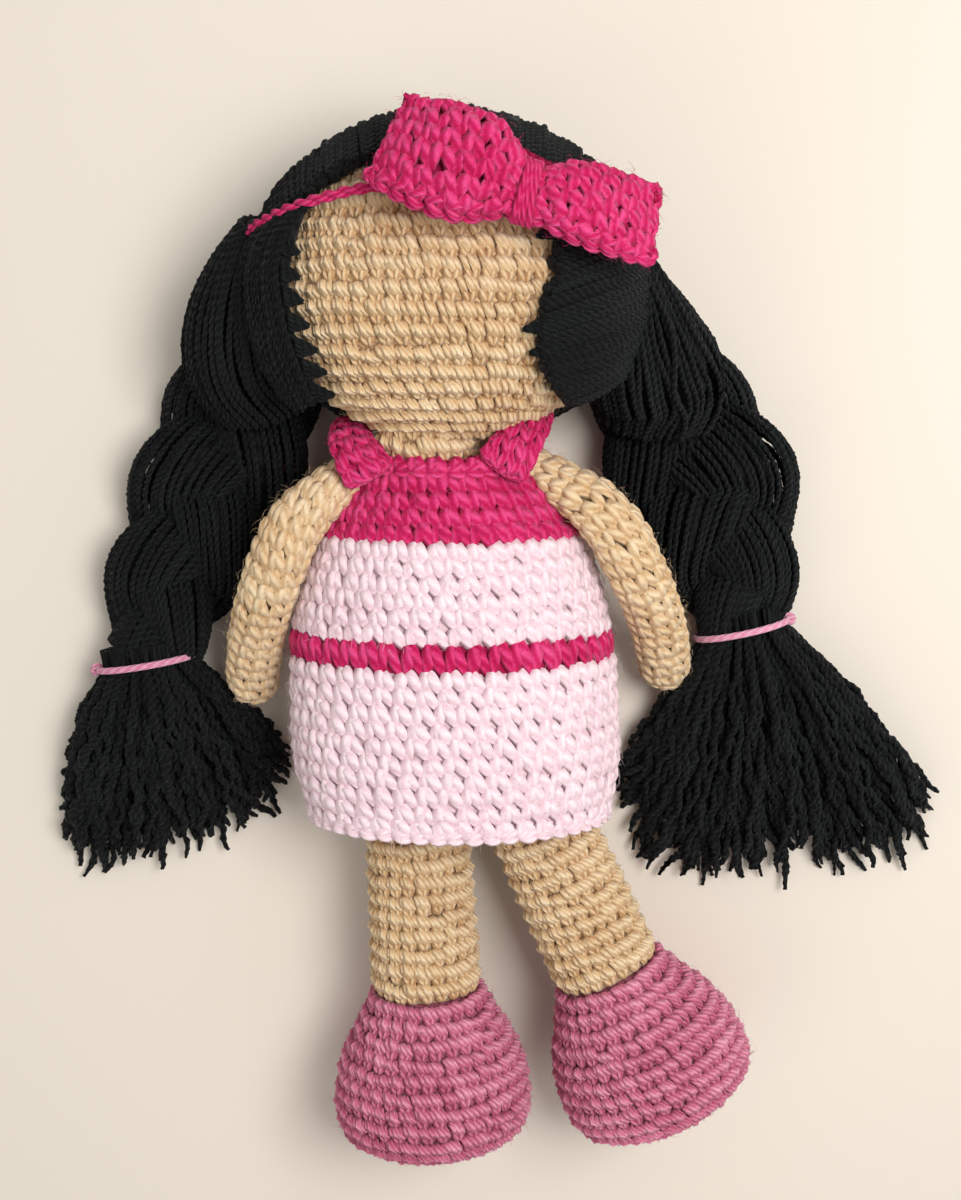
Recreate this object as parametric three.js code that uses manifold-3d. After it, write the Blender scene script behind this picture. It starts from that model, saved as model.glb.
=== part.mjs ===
// A crocheted, stuffed doll lying on its back. Millimetres, +Z up out of the doll's front,
// +Y towards the top of its head. Left is -X and right is +X, as one looks down on it.
import * as THREE from 'three';
import { mergeVertices } from 'three/addons/utils/BufferGeometryUtils.js';
import Module from 'manifold-3d';

const wasm = await Module();
wasm.setup();

// Driving dimensions

// Clearance between pieces that touch, and how far a cutter overruns what it cuts.
const gap = 0.3;
const overrun = 2;

// Thickness of the crocheted fabric: body and dress, and the thinner tubes of the arms.
const fabricWall = 3;
const armWall = 1.7;

// The surface that the doll lies on, and how far soft forms would reach below it.
const groundZ = 0;
const pressedFlat = 0.5;

const head = {
  halfWidth: 43,
  halfHeight: 38,
  halfDepth: 34.5,
  centreY: 19,
};

const hair = {
  sideThickness: 7,
  topThickness: 5.5,
  frontThickness: 3,
  napeAboveNeck: 7,
};

const neck = {
  ballRadius: 13,
  boreRadius: 7,
  sunkInHead: 3.5,
};

const torso = {
  shoulderRise: 5,
  bottomRounding: 9,
  slackInDress: 0.4,
};

const dress = {
  length: 91,
  topBelowHead: 6,
  halfWidth: 42,
  halfDepth: 28,
  leanToRight: 2.6,
};
const dressWidthShares = [0.58, 0.805, 0.917, 0.986, 1, 1, 0.924];
const dressDepthShares = [0.79, 0.91, 0.98, 1, 1, 1, 0.96];
const bandStartShare = 0.192;
const stripeStartShare = 0.462;
const stripeEndShare = 0.538;
const shoulderRoundingPower = 0.45;

const strap = {
  halfWidth: 4.6,
  halfThickness: 1.3,
  leftFootX: -14,
  leftTopX: -18,
  rightFootX: 12.5,
  rightTopX: 18,
  archShare: 0.86,
  endShare: 0.05,
};

const leg = {
  length: 57,
  hipRadius: 13.6,
  ankleRadius: 14.8,
  hipHoleRadius: 3,
  leftHipX: -9.3,
  rightHipX: 18.3,
  hipAboveHem: 9,
  leftSplay: 3,
  rightSplay: 24.5,
};

const shoe = {
  length: 46,
  radius: 26.5,
};
const shoeRadiusShares = [0.57, 0.7, 0.87, 0.97, 1, 0.93, 0.66];
const shoeRoundingShare = 0.12;

const arm = {
  halfWidth: 7.2,
  halfThickness: 6,
  rootHalfWidth: 3.1,
  throatHalfWidth: 1.1,
  leftRootInsideDress: 20.6,
  rightRootInsideDress: 21.2,
  rootAboveDress: 1.4,
  rootZ: 37,
  armholeRadius: 11.1,
};
// Each arm's run from its root to its tip: sideways, along the body and down to the ground.
const leftArmRun = {
  out: 32.5,
  along: 65,
  drop: 28,
};
const rightArmRun = {
  out: 37.6,
  along: 61,
  drop: 28,
};
// The shares of that run at its points: an arm climbs over the dress before it comes down.
const armRunShares = [
  [0, 0, 0],
  [0.49, 0.22, -0.17],
  [0.7, 0.44, -0.04],
  [0.89, 0.71, 0.42],
  [1, 1, 1],
];
const armWidthShares = [0.5, 0.84, 1, 1, 0.98, 0.95, 0.9];
const armThroatShare = 0.14;
const armEndShare = 0.09;

const plait = {
  halfWidth: 19,
  halfThickness: 11.5,
  pitch: 78,
  strandHalfWidth: 6.9,
  strandHalfThickness: 4.1,
};
const plaitSizeShares = [0.6, 0.82, 0.96, 1, 1, 0.95, 0.84, 0.66, 0.6];
const strandCount = 3;
const strandEndShare = 0.05;

// Each plait's start beside the head, then how far out and down it bends and is tied.
const leftPlaitRoute = {
  rootInsideHair: 1.2,
  rootBelowCentre: 2.5,
  bendOut: 12.7,
  bendDown: 43.5,
  tieOut: 31.7,
  tieDown: 94.5,
  tieSlack: -0.3,
};
const rightPlaitRoute = {
  rootInsideHair: 3.2,
  rootBelowCentre: 5,
  bendOut: 25.2,
  bendDown: 40,
  tieOut: 31.2,
  tieDown: 83,
  tieSlack: 0.7,
};

const tie = {
  cordRadius: 1.5,
  knotRadius: 3,
};

const tassel = {
  rootRadius: 7,
  lockOverlapShare: 0.62,
  lockHalfThickness: 2.9,
};
const lockEndShare = 0.06;
const lockSagShare = 0.25;
// Each tassel's longest lock, its spread and turn in degrees, and the lengths of its locks.
const leftTassel = {
  length: 56,
  spread: 84,
  turn: 20,
  drawnIntoTie: 1.3,
  lockShares: [0.86, 0.98, 1, 0.92, 0.97, 0.9, 0.95, 0.87, 0.92, 0.8, 0.72],
};
const rightTassel = {
  length: 74,
  spread: 81,
  turn: 4,
  drawnIntoTie: 0.4,
  lockShares: [0.72, 0.85, 0.93, 0.88, 0.92, 0.86, 0.93, 0.9, 1, 0.97, 0.9],
};

const headband = {
  cordRadius: 1.1,
  aboveCentre: 16,
  leanShare: 0.16,
};

const bow = {
  halfLength: 33,
  lobeHalfHeight: 12,
  pinchHalfHeight: 5.2,
  halfThickness: 4.4,
  pinchHalfThickness: 3.6,
  centreX: 18.5,
  aboveHeadCentre: 19.5,
  turn: -15,
  lean: 15,
};
const bowHeightShares = [0.88, 1, 1.02, 0.86, 0.6];
const bowPinchShare = 0.09;
const bowEndShare = 0.09;
const wrap = {
  halfLength: 3,
  thickness: 1.2,
  looseShare: 1.2,
  edgeShare: 0.02,
};

// Yarn colours and how matt each yarn is.
const yarn = {
  skin: { color: 0xceac7f, roughness: 0.9, metalness: 0 },
  hotPink: { color: 0xc8235f, roughness: 0.85, metalness: 0 },
  palePink: { color: 0xf0d7dc, roughness: 0.9, metalness: 0 },
  duskyPink: { color: 0xbe647d, roughness: 0.88, metalness: 0 },
  black: { color: 0x0e1014, roughness: 0.6, metalness: 0 },
  lightPink: { color: 0xe196af, roughness: 0.85, metalness: 0 },
  stuffing: { color: 0xf4f2ec, roughness: 1, metalness: 0 },
};

// How finely round forms are divided.
const bodySides = 20;
const bodyRings = 12;
const limbSides = 12;
const limbRings = 12;
const legSides = 16;
const ballSides = 14;
const ballRings = 8;
const strandSides = 8;
const strandRings = 22;
const knotRings = 6;
const bowRings = 18;
const lockSides = 6;
const lockRings = 6;
const cordSides = 6;
const bandSteps = 32;
const tieSteps = 18;

// Places that follow from the sizes

// The hair under the head keeps the head off the ground.
const headCentreZ = groundZ - pressedFlat + hair.frontThickness + gap + head.halfDepth;
const headCentre = new THREE.Vector3(0, head.centreY, headCentreZ);
const headBottomY = head.centreY - head.halfHeight;
const neckPivot = new THREE.Vector3(0, headBottomY + neck.sunkInHead - gap, headCentreZ);

const dressTopY = headBottomY - dress.topBelowHead;
const dressBottomY = dressTopY - dress.length;
const bodyCentreZ = groundZ - pressedFlat + dress.halfDepth;
const hipY = dressBottomY + leg.hipAboveHem;
const hipZ = groundZ - pressedFlat + shoe.radius;
const torsoBottomY = hipY + leg.hipRadius + gap;
const torsoTopY = dressTopY + torso.shoulderRise;
const armRootY = dressTopY + arm.rootAboveDress;
const plaitCentreZ = groundZ - pressedFlat + plait.halfThickness;
const leftArmRootX = -(dress.halfWidth - arm.leftRootInsideDress);
const rightArmRootX = dress.halfWidth - arm.rightRootInsideDress;

// Shape helpers

// A smooth curve through evenly spaced shares, read at any share of the way.
function smooth(shares) {
  const curve = new THREE.SplineCurve(shares.map((value, i) => new THREE.Vector2(i, value)));
  return (share) => curve.getPoint(THREE.MathUtils.clamp(share, 0, 1)).y;
}

// Moves every vertex of a geometry to where the function puts it.
function reshape(geometry, place) {
  const position = geometry.attributes.position;
  const point = new THREE.Vector3();
  for (let i = 0; i < position.count; i += 1) {
    point.fromBufferAttribute(position, i);
    place(point);
    position.setXYZ(i, point.x, point.y, point.z);
  }
  return geometry;
}

// Six times the signed volume, to tell whether the faces point out.
function signedVolume(position, index) {
  const a = new THREE.Vector3();
  const b = new THREE.Vector3();
  const c = new THREE.Vector3();
  let sum = 0;
  for (let i = 0; i < index.length; i += 3) {
    a.fromBufferAttribute(position, index[i]);
    b.fromBufferAttribute(position, index[i + 1]);
    c.fromBufferAttribute(position, index[i + 2]);
    sum += a.dot(b.cross(c));
  }
  return sum;
}

// Merges shared corners, drops flat triangles at the poles and turns the faces outward.
function closed(geometry) {
  geometry.deleteAttribute('normal');
  geometry.deleteAttribute('uv');
  const merged = mergeVertices(geometry);
  let index = [];
  const old = merged.index.array;
  for (let i = 0; i < old.length; i += 3) {
    const [a, b, c] = [old[i], old[i + 1], old[i + 2]];
    if (a !== b && b !== c && c !== a) {
      index.push(a, b, c);
    }
  }
  if (signedVolume(merged.attributes.position, index) < 0) {
    index = index.reverse();
  }
  merged.setIndex(index);
  return merged;
}

// A closed geometry as a solid that can be joined and cut, and back.
function solid(geometry) {
  const body = closed(geometry);
  return new wasm.Manifold(new wasm.Mesh({
    numProp: 3,
    vertProperties: Float32Array.from(body.attributes.position.array),
    triVerts: Uint32Array.from(body.index.array),
  }));
}

function geometryOf(manifold) {
  const mesh = manifold.getMesh();
  const geometry = new THREE.BufferGeometry();
  geometry.setAttribute('position', new THREE.BufferAttribute(mesh.vertProperties, 3));
  geometry.setIndex(new THREE.BufferAttribute(mesh.triVerts, 1));
  return geometry;
}

function ellipsoid(centre, halfX, halfY, halfZ, sides = bodySides, rings = bodyRings) {
  const geometry = new THREE.SphereGeometry(1, sides, rings);
  geometry.scale(halfX, halfY, halfZ);
  geometry.translate(centre.x, centre.y, centre.z);
  return solid(geometry);
}

function roundBall(centre, radius) {
  return ellipsoid(centre, radius, radius, radius, ballSides, ballRings);
}

function box(low, high) {
  const size = high.clone().sub(low);
  const centre = high.clone().add(low).multiplyScalar(0.5);
  const geometry = new THREE.BoxGeometry(size.x, size.y, size.z);
  geometry.translate(centre.x, centre.y, centre.z);
  return solid(geometry);
}

// Everything above the ground, to press a soft form flat where it lies.
const far = 2 * (dress.length + leg.length + shoe.length + head.halfHeight);
const aboveGround = box(new THREE.Vector3(-far, -far, groundZ), new THREE.Vector3(far, far, far));

// Presses a form flat whose own frame lies at a height above the ground.
function pressed(form, height) {
  return form.translate([0, 0, height]).intersect(aboveGround).translate([0, 0, -height]);
}

// Shares along a tube that has rounded ends, with more rings where it rounds.
const endRingShares = [0, 0.08, 0.35, 1];
const coarseEndRingShares = [0, 0.25, 1];

function roundedShares(rings, endShare, ringShares) {
  const ends = ringShares.map((share) => share * endShare);
  const between = rings - 2 * (ends.length - 1);
  const shares = [...ends];
  for (let i = 1; i < between; i += 1) {
    shares.push(endShare + (1 - 2 * endShare) * i / between);
  }
  return [...shares, ...ends.map((share) => 1 - share).reverse()];
}

// How full a rounded tube is at a share of its length.
function roundedFullness(share, endShare) {
  const fromEnd = Math.min(share, 1 - share, endShare);
  const out = 1 - fromEnd / endShare;
  return Math.sqrt(Math.max(1 - out * out, 0));
}

// A tube of oval section along a curve, closed at both ends. `across` is the way it is wide,
// and size(share) gives its centre's shift and its half width and half thickness there.
function ovalTube(curve, across, size, { rings, sides, endShare, endRings = endRingShares }) {
  const shares = roundedShares(rings, endShare, endRings);
  const profile = shares.map((share, i) => {
    const onAxis = i === 0 || i === shares.length - 1;
    return new THREE.Vector2(onAxis ? 0 : 1, share);
  });
  const geometry = new THREE.LatheGeometry(profile, sides);
  return reshape(geometry, (point) => {
    const share = point.y;
    const centre = curve.getPointAt(share);
    const forward = curve.getTangentAt(share);
    const wide = across.clone().addScaledVector(forward, -across.dot(forward)).normalize();
    const thick = new THREE.Vector3().crossVectors(forward, wide);
    const { shiftWide = 0, shiftThick = 0, halfWidth, halfThickness } = size(share);
    const fullness = roundedFullness(share, endShare);
    const [u, v] = [point.x * fullness, point.z * fullness];
    point.copy(centre);
    point.addScaledVector(wide, shiftWide + u * halfWidth);
    point.addScaledVector(thick, shiftThick + v * halfThickness);
  });
}

// A closed cord ring: place(angle) gives its centre line and the outward direction there.
function cordRing(place, cordRadius, axis, steps) {
  const unitTube = 0.25;
  const geometry = new THREE.TorusGeometry(1, unitTube, cordSides, steps);
  return reshape(geometry, (point) => {
    const angle = Math.atan2(point.y, point.x);
    const outward = (Math.hypot(point.x, point.y) - 1) / unitTube;
    const sideways = point.z / unitTube;
    const { centre, normal } = place(angle);
    point.copy(centre);
    point.addScaledVector(normal, outward * cordRadius);
    point.addScaledVector(axis, sideways * cordRadius);
  });
}

// Body: torso and dress

const dressWidthAt = smooth(dressWidthShares);
const dressDepthAt = smooth(dressDepthShares);

function dressHalfWidth(y) {
  return dress.halfWidth * dressWidthAt((dressTopY - y) / dress.length);
}

// Squashes a form turned round the body's axis to the oval of the dress at each height,
// and leans it as the body lies.
function toBodyOval(point) {
  const share = (dressTopY - point.y) / dress.length;
  point.x += dress.leanToRight * share * Math.abs(share);
  const ratio = dress.halfDepth * dressDepthAt(share) / (dress.halfWidth * dressWidthAt(share));
  point.z = bodyCentreZ + point.z * ratio;
}

// One yarn section of the dress: a tube of fabric, open at both ends.
function dressSection(startShare, endShare, rings) {
  const top = dressTopY - startShare * dress.length;
  const bottom = dressTopY - endShare * dress.length + (endShare < 1 ? gap : 0);
  const heights = Array.from({ length: rings + 1 }, (_, i) => top + (bottom - top) * i / rings);
  const outer = heights.map((y) => new THREE.Vector2(dressHalfWidth(y), y));
  const inner = heights.map((y) => new THREE.Vector2(dressHalfWidth(y) - fabricWall, y)).reverse();
  const profile = [...outer, ...inner, outer[0].clone()];
  const geometry = reshape(new THREE.LatheGeometry(profile, bodySides), toBodyOval);
  return solid(geometry).intersect(aboveGround);
}

// The torso's outline inside the dress, drawn in by `inset` for its inner side.
function torsoForm(inset) {
  const bottomY = torsoBottomY + inset;
  const topY = torsoTopY - inset;
  const fit = fabricWall + gap + torso.slackInDress + inset;
  const corner = torso.bottomRounding;
  const rise = torso.shoulderRise;
  const profile = [new THREE.Vector2(0, bottomY)];
  const cornerSteps = 4;
  for (let i = 1; i <= cornerSteps; i += 1) {
    const turn = Math.PI / 2 * i / cornerSteps;
    const y = bottomY + corner * (1 - Math.cos(turn));
    profile.push(new THREE.Vector2(dressHalfWidth(y) - fit - corner * (1 - Math.sin(turn)), y));
  }
  const sideSteps = 9;
  const sideStart = bottomY + corner;
  for (let i = 1; i <= sideSteps; i += 1) {
    const y = sideStart + (dressTopY - sideStart) * i / sideSteps;
    profile.push(new THREE.Vector2(dressHalfWidth(y) - fit, y));
  }
  const shoulder = dressHalfWidth(dressTopY) - fit;
  for (let i = 1; i <= cornerSteps; i += 1) {
    const turn = Math.PI / 2 * i / cornerSteps;
    const y = dressTopY + (rise - inset) * Math.sin(turn);
    const radius = i === cornerSteps ? 0 : shoulder * Math.cos(turn) ** shoulderRoundingPower;
    profile.push(new THREE.Vector2(radius, y));
  }
  profile[profile.length - 1].y = topY;
  return solid(reshape(new THREE.LatheGeometry(profile, bodySides), toBodyOval));
}

// The neck's bore runs through the neck ball into the torso.
function neckBore(radius) {
  const low = neckPivot.clone();
  low.y = torsoTopY - torso.shoulderRise;
  low.z = bodyCentreZ;
  const high = neckPivot.clone();
  high.y += neck.ballRadius + overrun;
  const line = new THREE.LineCurve3(low, high);
  const size = () => ({ halfWidth: radius, halfThickness: radius });
  const detail = { rings: 8, sides: limbSides, endShare: 0.2 };
  return solid(ovalTube(line, new THREE.Vector3(1, 0, 0), size, detail));
}

function torsoSkin() {
  const low = new THREE.Vector3(-far, dressTopY + gap, -far);
  const aboveDress = box(low, new THREE.Vector3(far, far, far));
  const ball = roundBall(neckPivot, neck.ballRadius);
  const outside = torsoForm(0).add(ball.intersect(aboveDress));
  return outside.subtract(torsoForm(fabricWall)).subtract(neckBore(neck.boreRadius));
}

function torsoStuffing() {
  return torsoForm(fabricWall + gap);
}

function bodice() {
  const armholes = [leftArmRootX, rightArmRootX].map((x) => (
    roundBall(new THREE.Vector3(x, armRootY, arm.rootZ), arm.armholeRadius)));
  const section = dressSection(0, bandStartShare, 5);
  return armholes.reduce((left, hole) => left.subtract(hole), section);
}

// A shoulder strap arches from the front of the bodice over the shoulder to its back.
function shoulderStrap(footX, topX) {
  const acrossShare = footX / dressHalfWidth(dressTopY);
  const depth = dress.halfDepth * dressDepthShares[0] + 3 * gap;
  const footZ = depth * Math.sqrt(1 - acrossShare * acrossShare);
  const footY = dressTopY + strap.halfThickness / 3;
  const topY = torsoTopY + strap.halfThickness + gap;
  const shoulderY = (footY + topY) / 2 + strap.halfThickness + gap;
  const points = [
    new THREE.Vector3(footX, footY, bodyCentreZ + footZ),
    new THREE.Vector3((footX + topX) / 2, shoulderY, bodyCentreZ + footZ * strap.archShare),
    new THREE.Vector3(topX, topY, bodyCentreZ),
    new THREE.Vector3((footX + topX) / 2, shoulderY, bodyCentreZ - footZ * strap.archShare),
    new THREE.Vector3(footX, footY, bodyCentreZ - footZ),
  ];
  const size = () => ({ halfWidth: strap.halfWidth, halfThickness: strap.halfThickness });
  const detail = { rings: limbRings, sides: strandSides, endShare: strap.endShare };
  const curve = new THREE.CatmullRomCurve3(points);
  const band = solid(ovalTube(curve, new THREE.Vector3(1, 0, 0), size, detail));
  return band.subtract(neckSocket(0));
}

// Head, hair, headband and bow

function headForm(inset) {
  const [halfX, halfY, halfZ] = [head.halfWidth, head.halfHeight, head.halfDepth];
  return ellipsoid(headCentre, halfX - inset, halfY - inset, halfZ - inset);
}

function neckSocket(grow) {
  return roundBall(neckPivot, neck.ballRadius + gap + grow);
}

function headSkin() {
  return headForm(0).subtract(headForm(fabricWall)).subtract(neckSocket(0));
}

function headStuffing() {
  return headForm(fabricWall + gap).subtract(neckSocket(gap));
}

const hairHalf = {
  x: head.halfWidth + hair.sideThickness,
  y: head.halfHeight + hair.topThickness,
  z: head.halfDepth + gap + hair.frontThickness,
};

// The face is left free between the two curtains of hair. Places are shares of the head.
const faceShares = [
  [-0.3, 0.6], [-0.62, 0.48], [-0.8, 0.3], [-0.84, 0], [-0.79, -0.3], [-0.68, -0.62],
  [-0.6, -1.3], [0.7, -1.3], [0.72, -0.7], [0.56, -0.6], [0.45, -0.3], [0.5, -0.08],
  [0.6, 0.16], [0.5, 0.32], [0.1, 0.52],
];

function faceOpening() {
  const points = faceShares.map(([x, y]) => (
    new THREE.Vector2(x * head.halfWidth, head.centreY + y * head.halfHeight)));
  const depth = hairHalf.z + overrun;
  const outline = new THREE.Shape(points);
  const geometry = new THREE.ExtrudeGeometry(outline, { depth, bevelEnabled: false });
  geometry.translate(0, 0, headCentreZ);
  return solid(geometry);
}

// One half of the parted hair, `side` -1 for left and 1 for right.
function hairSide(side) {
  const cap = ellipsoid(headCentre, hairHalf.x, hairHalf.y, hairHalf.z)
    .subtract(headForm(-gap))
    .subtract(faceOpening())
    .intersect(aboveGround);
  const napeY = headBottomY + hair.napeAboveNeck;
  const innerX = side * gap / 2;
  const outerX = side * far;
  const low = new THREE.Vector3(Math.min(innerX, outerX), napeY, -far);
  const high = new THREE.Vector3(Math.max(innerX, outerX), far, far);
  return cap.intersect(box(low, high));
}

// The cord lies on the hair all the way round the head, in a plane that leans forward.
function headbandCord() {
  const away = gap + headband.cordRadius;
  const lean = new THREE.Vector3(0, 1, -headband.leanShare).normalize();
  const place = (angle) => {
    const upward = Math.sin(angle) * hairHalf.z;
    const above = headband.aboveCentre + headband.leanShare * upward;
    const drawn = Math.sqrt(1 - (above / hairHalf.y) ** 2);
    const normal = new THREE.Vector3(Math.cos(angle) / hairHalf.x, above / hairHalf.y ** 2,
      Math.sin(angle) / hairHalf.z).normalize();
    const centre = new THREE.Vector3(
      Math.cos(angle) * hairHalf.x * drawn,
      head.centreY + above,
      headCentreZ + Math.sin(angle) * hairHalf.z * drawn,
    ).addScaledVector(normal, away);
    return { centre, normal };
  };
  return solid(cordRing(place, headband.cordRadius, lean, bandSteps)).intersect(aboveGround);
}

function bowForm() {
  const heightAt = smooth([...bowHeightShares, ...bowHeightShares.slice(0, -1).reverse()]);
  const line = new THREE.LineCurve3(
    new THREE.Vector3(-bow.halfLength, 0, 0),
    new THREE.Vector3(bow.halfLength, 0, 0),
  );
  const size = (share) => {
    const pinch = Math.exp(-(((share - 0.5) / bowPinchShare) ** 2));
    const lobe = bow.lobeHalfHeight * heightAt(share);
    return {
      halfWidth: lobe + (bow.pinchHalfHeight - lobe) * pinch,
      halfThickness: bow.halfThickness + (bow.pinchHalfThickness - bow.halfThickness) * pinch,
    };
  };
  const detail = { rings: bowRings, sides: limbSides, endShare: bowEndShare };
  return ovalTube(line, new THREE.Vector3(0, 1, 0), size, detail);
}

// Yarn wound round the bow's middle, as one flat ring.
function wrapForm() {
  const halfHeight = (bow.pinchHalfHeight + gap) * wrap.looseShare;
  const halfThickness = (bow.pinchHalfThickness + gap) * wrap.looseShare;
  const tube = (grow, length) => {
    const start = new THREE.Vector3(-length, 0, 0);
    const line = new THREE.LineCurve3(start, new THREE.Vector3(length, 0, 0));
    const size = () => ({ halfWidth: halfHeight + grow, halfThickness: halfThickness + grow });
    const detail = { rings: 8, sides: limbSides, endShare: wrap.edgeShare };
    return solid(ovalTube(line, new THREE.Vector3(0, 1, 0), size, detail));
  };
  const outside = tube(wrap.thickness, wrap.halfLength);
  return geometryOf(outside.subtract(tube(0, wrap.halfLength + overrun)));
}

// Limbs

// A leg's own frame has its hip at the origin and its foot down -Y.
function legProfile(inset, topRadius) {
  const hip = leg.hipRadius - inset;
  const ankle = leg.ankleRadius - inset;
  const top = Math.sqrt(Math.max(hip * hip - topRadius * topRadius, 0));
  const points = [new THREE.Vector2(topRadius, top)];
  const roundSteps = 4;
  const start = Math.asin(topRadius / hip);
  for (let i = 1; i <= roundSteps; i += 1) {
    const turn = start + (Math.PI / 2 - start) * i / roundSteps;
    points.push(new THREE.Vector2(hip * Math.sin(turn), hip * Math.cos(turn)));
  }
  const sideSteps = 4;
  for (let i = 1; i <= sideSteps; i += 1) {
    const share = i / sideSteps;
    points.push(new THREE.Vector2(THREE.MathUtils.lerp(hip, ankle, share), -leg.length * share));
  }
  return points;
}

const shoeRadiusAt = smooth(shoeRadiusShares);

function shoeProfile(inset) {
  const rings = 8;
  const points = [];
  const end = leg.length + shoe.length - inset;
  for (let i = 0; i <= rings; i += 1) {
    const share = Math.sin(Math.PI / 2 * i / rings);
    const y = -(leg.length + gap) - (end - leg.length - gap) * share;
    const fullness = i === rings ? 0 : roundedFullness((1 + share) / 2, shoeRoundingShare);
    const radius = Math.max(shoe.radius * shoeRadiusAt(share) - inset, 0) * fullness;
    points.push(new THREE.Vector2(radius, y));
  }
  return points;
}

function turned(profile, sides) {
  return new THREE.LatheGeometry(profile, sides);
}

function legSkin() {
  const outer = legProfile(0, leg.hipHoleRadius);
  const inner = legProfile(fabricWall, leg.hipHoleRadius).reverse();
  return turned([...outer, ...inner, outer[0].clone()], legSides);
}

function shoeSkin() {
  const outer = shoeProfile(0);
  const inner = shoeProfile(fabricWall).reverse();
  return pressed(solid(turned([...inner, ...outer, inner[0].clone()], legSides)), hipZ);
}

function legStuffing() {
  const inset = fabricWall + gap;
  return turned([...legProfile(inset, 0), ...shoeProfile(inset)], legSides);
}

// An arm's own frame has its root at the origin.
function armForm(run, side, { inset, pastRoot, throat }) {
  const points = armRunShares.map(([out, along, drop]) => (
    new THREE.Vector3(side * run.out * out, -run.along * along, -run.drop * drop)));
  points[0].addScaledVector(points[1].clone().normalize(), -arm.rootHalfWidth - pastRoot);
  const last = points.length - 1;
  points[last].addScaledVector(points[last].clone().sub(points[last - 1]).normalize(), -inset);
  const widthAt = smooth(armWidthShares);
  const drawn = (full, share) => {
    const rootwards = Math.max(1 - share / armThroatShare, 0);
    const half = THREE.MathUtils.lerp(full * widthAt(share), arm.rootHalfWidth, rootwards);
    return Math.max(half - inset, throat);
  };
  const size = (share) => ({
    halfWidth: drawn(arm.halfWidth, share),
    halfThickness: drawn(arm.halfThickness, share),
  });
  const detail = { rings: limbRings, sides: limbSides, endShare: armEndShare };
  const curve = new THREE.CatmullRomCurve3(points);
  return solid(ovalTube(curve, new THREE.Vector3(1, 0, 0), size, detail));
}

// Plaits, ties and tassels

// The curve that a plait's middle follows, from its root at the head to its tie.
function plaitCurve(route, side) {
  const rootX = hairHalf.x - route.rootInsideHair;
  const rootY = head.centreY - route.rootBelowCentre;
  return new THREE.CatmullRomCurve3([
    new THREE.Vector3(side * rootX, rootY, plaitCentreZ),
    new THREE.Vector3(side * (rootX + route.bendOut), rootY - route.bendDown, plaitCentreZ),
    new THREE.Vector3(side * (rootX + route.tieOut), rootY - route.tieDown, plaitCentreZ),
  ]);
}

const plaitSizeAt = smooth(plaitSizeShares);

// One of three strands. Each swings from side to side, and over and under twice as often,
// so that it passes over one neighbour and under the next.
function plaitStrand(route, side, number) {
  const curve = plaitCurve(route, side);
  const length = curve.getLength();
  const swing = plait.halfWidth - plait.strandHalfWidth;
  const lift = plait.halfThickness - plait.strandHalfThickness;
  const size = (share) => {
    const phase = 2 * Math.PI * (share * length / plait.pitch + number / strandCount);
    const scale = plaitSizeAt(share);
    return {
      shiftWide: side * swing * scale * Math.sin(phase),
      shiftThick: lift * scale * Math.sin(2 * phase),
      halfWidth: plait.strandHalfWidth * scale,
      halfThickness: plait.strandHalfThickness * scale,
    };
  };
  const detail = { rings: strandRings, sides: strandSides, endShare: strandEndShare };
  const tube = ovalTube(curve, new THREE.Vector3(1, 0, 0), size, detail);
  return solid(tube).intersect(aboveGround);
}

function knotBall(centre, radius) {
  return ellipsoid(centre, radius, radius, radius, strandSides, knotRings);
}

// Where the tie sits, and the way the plait runs there.
function tieFrame(route, side) {
  const curve = plaitCurve(route, side);
  const forward = curve.getTangentAt(1);
  const wide = new THREE.Vector3(0, 0, 1).cross(forward);
  const back = tie.cordRadius + gap;
  return { centre: curve.getPointAt(1).addScaledVector(forward, -back), forward, wide };
}

function plaitTie(route, side) {
  const { centre, forward, wide } = tieFrame(route, side);
  const scale = plaitSizeShares[plaitSizeShares.length - 1];
  const away = gap + route.tieSlack + tie.cordRadius;
  const halfWide = plait.halfWidth * scale + away;
  const halfThick = plait.halfThickness * scale + away;
  const up = new THREE.Vector3(0, 0, 1);
  const place = (angle) => ({
    centre: centre.clone()
      .addScaledVector(wide, halfWide * Math.cos(angle))
      .addScaledVector(up, halfThick * Math.sin(angle)),
    normal: wide.clone().multiplyScalar(Math.cos(angle) / halfWide)
      .addScaledVector(up, Math.sin(angle) / halfThick).normalize(),
  });
  const ring = solid(cordRing(place, tie.cordRadius, forward, tieSteps));
  const knotCentre = centre.clone()
    .addScaledVector(wide, -Math.sign(wide.x) * -side * (halfWide + tie.knotRadius / 2));
  const knot = knotBall(knotCentre, tie.knotRadius);
  return ring.add(knot);
}

// The tassel's root turns in the plait's end, just past the tie.
function tasselPivot(route, side, fan) {
  const { forward } = tieFrame(route, side);
  return plaitCurve(route, side).getPointAt(1).addScaledVector(
    forward,
    gap + tassel.rootRadius - fan.drawnIntoTie,
  );
}

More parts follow.
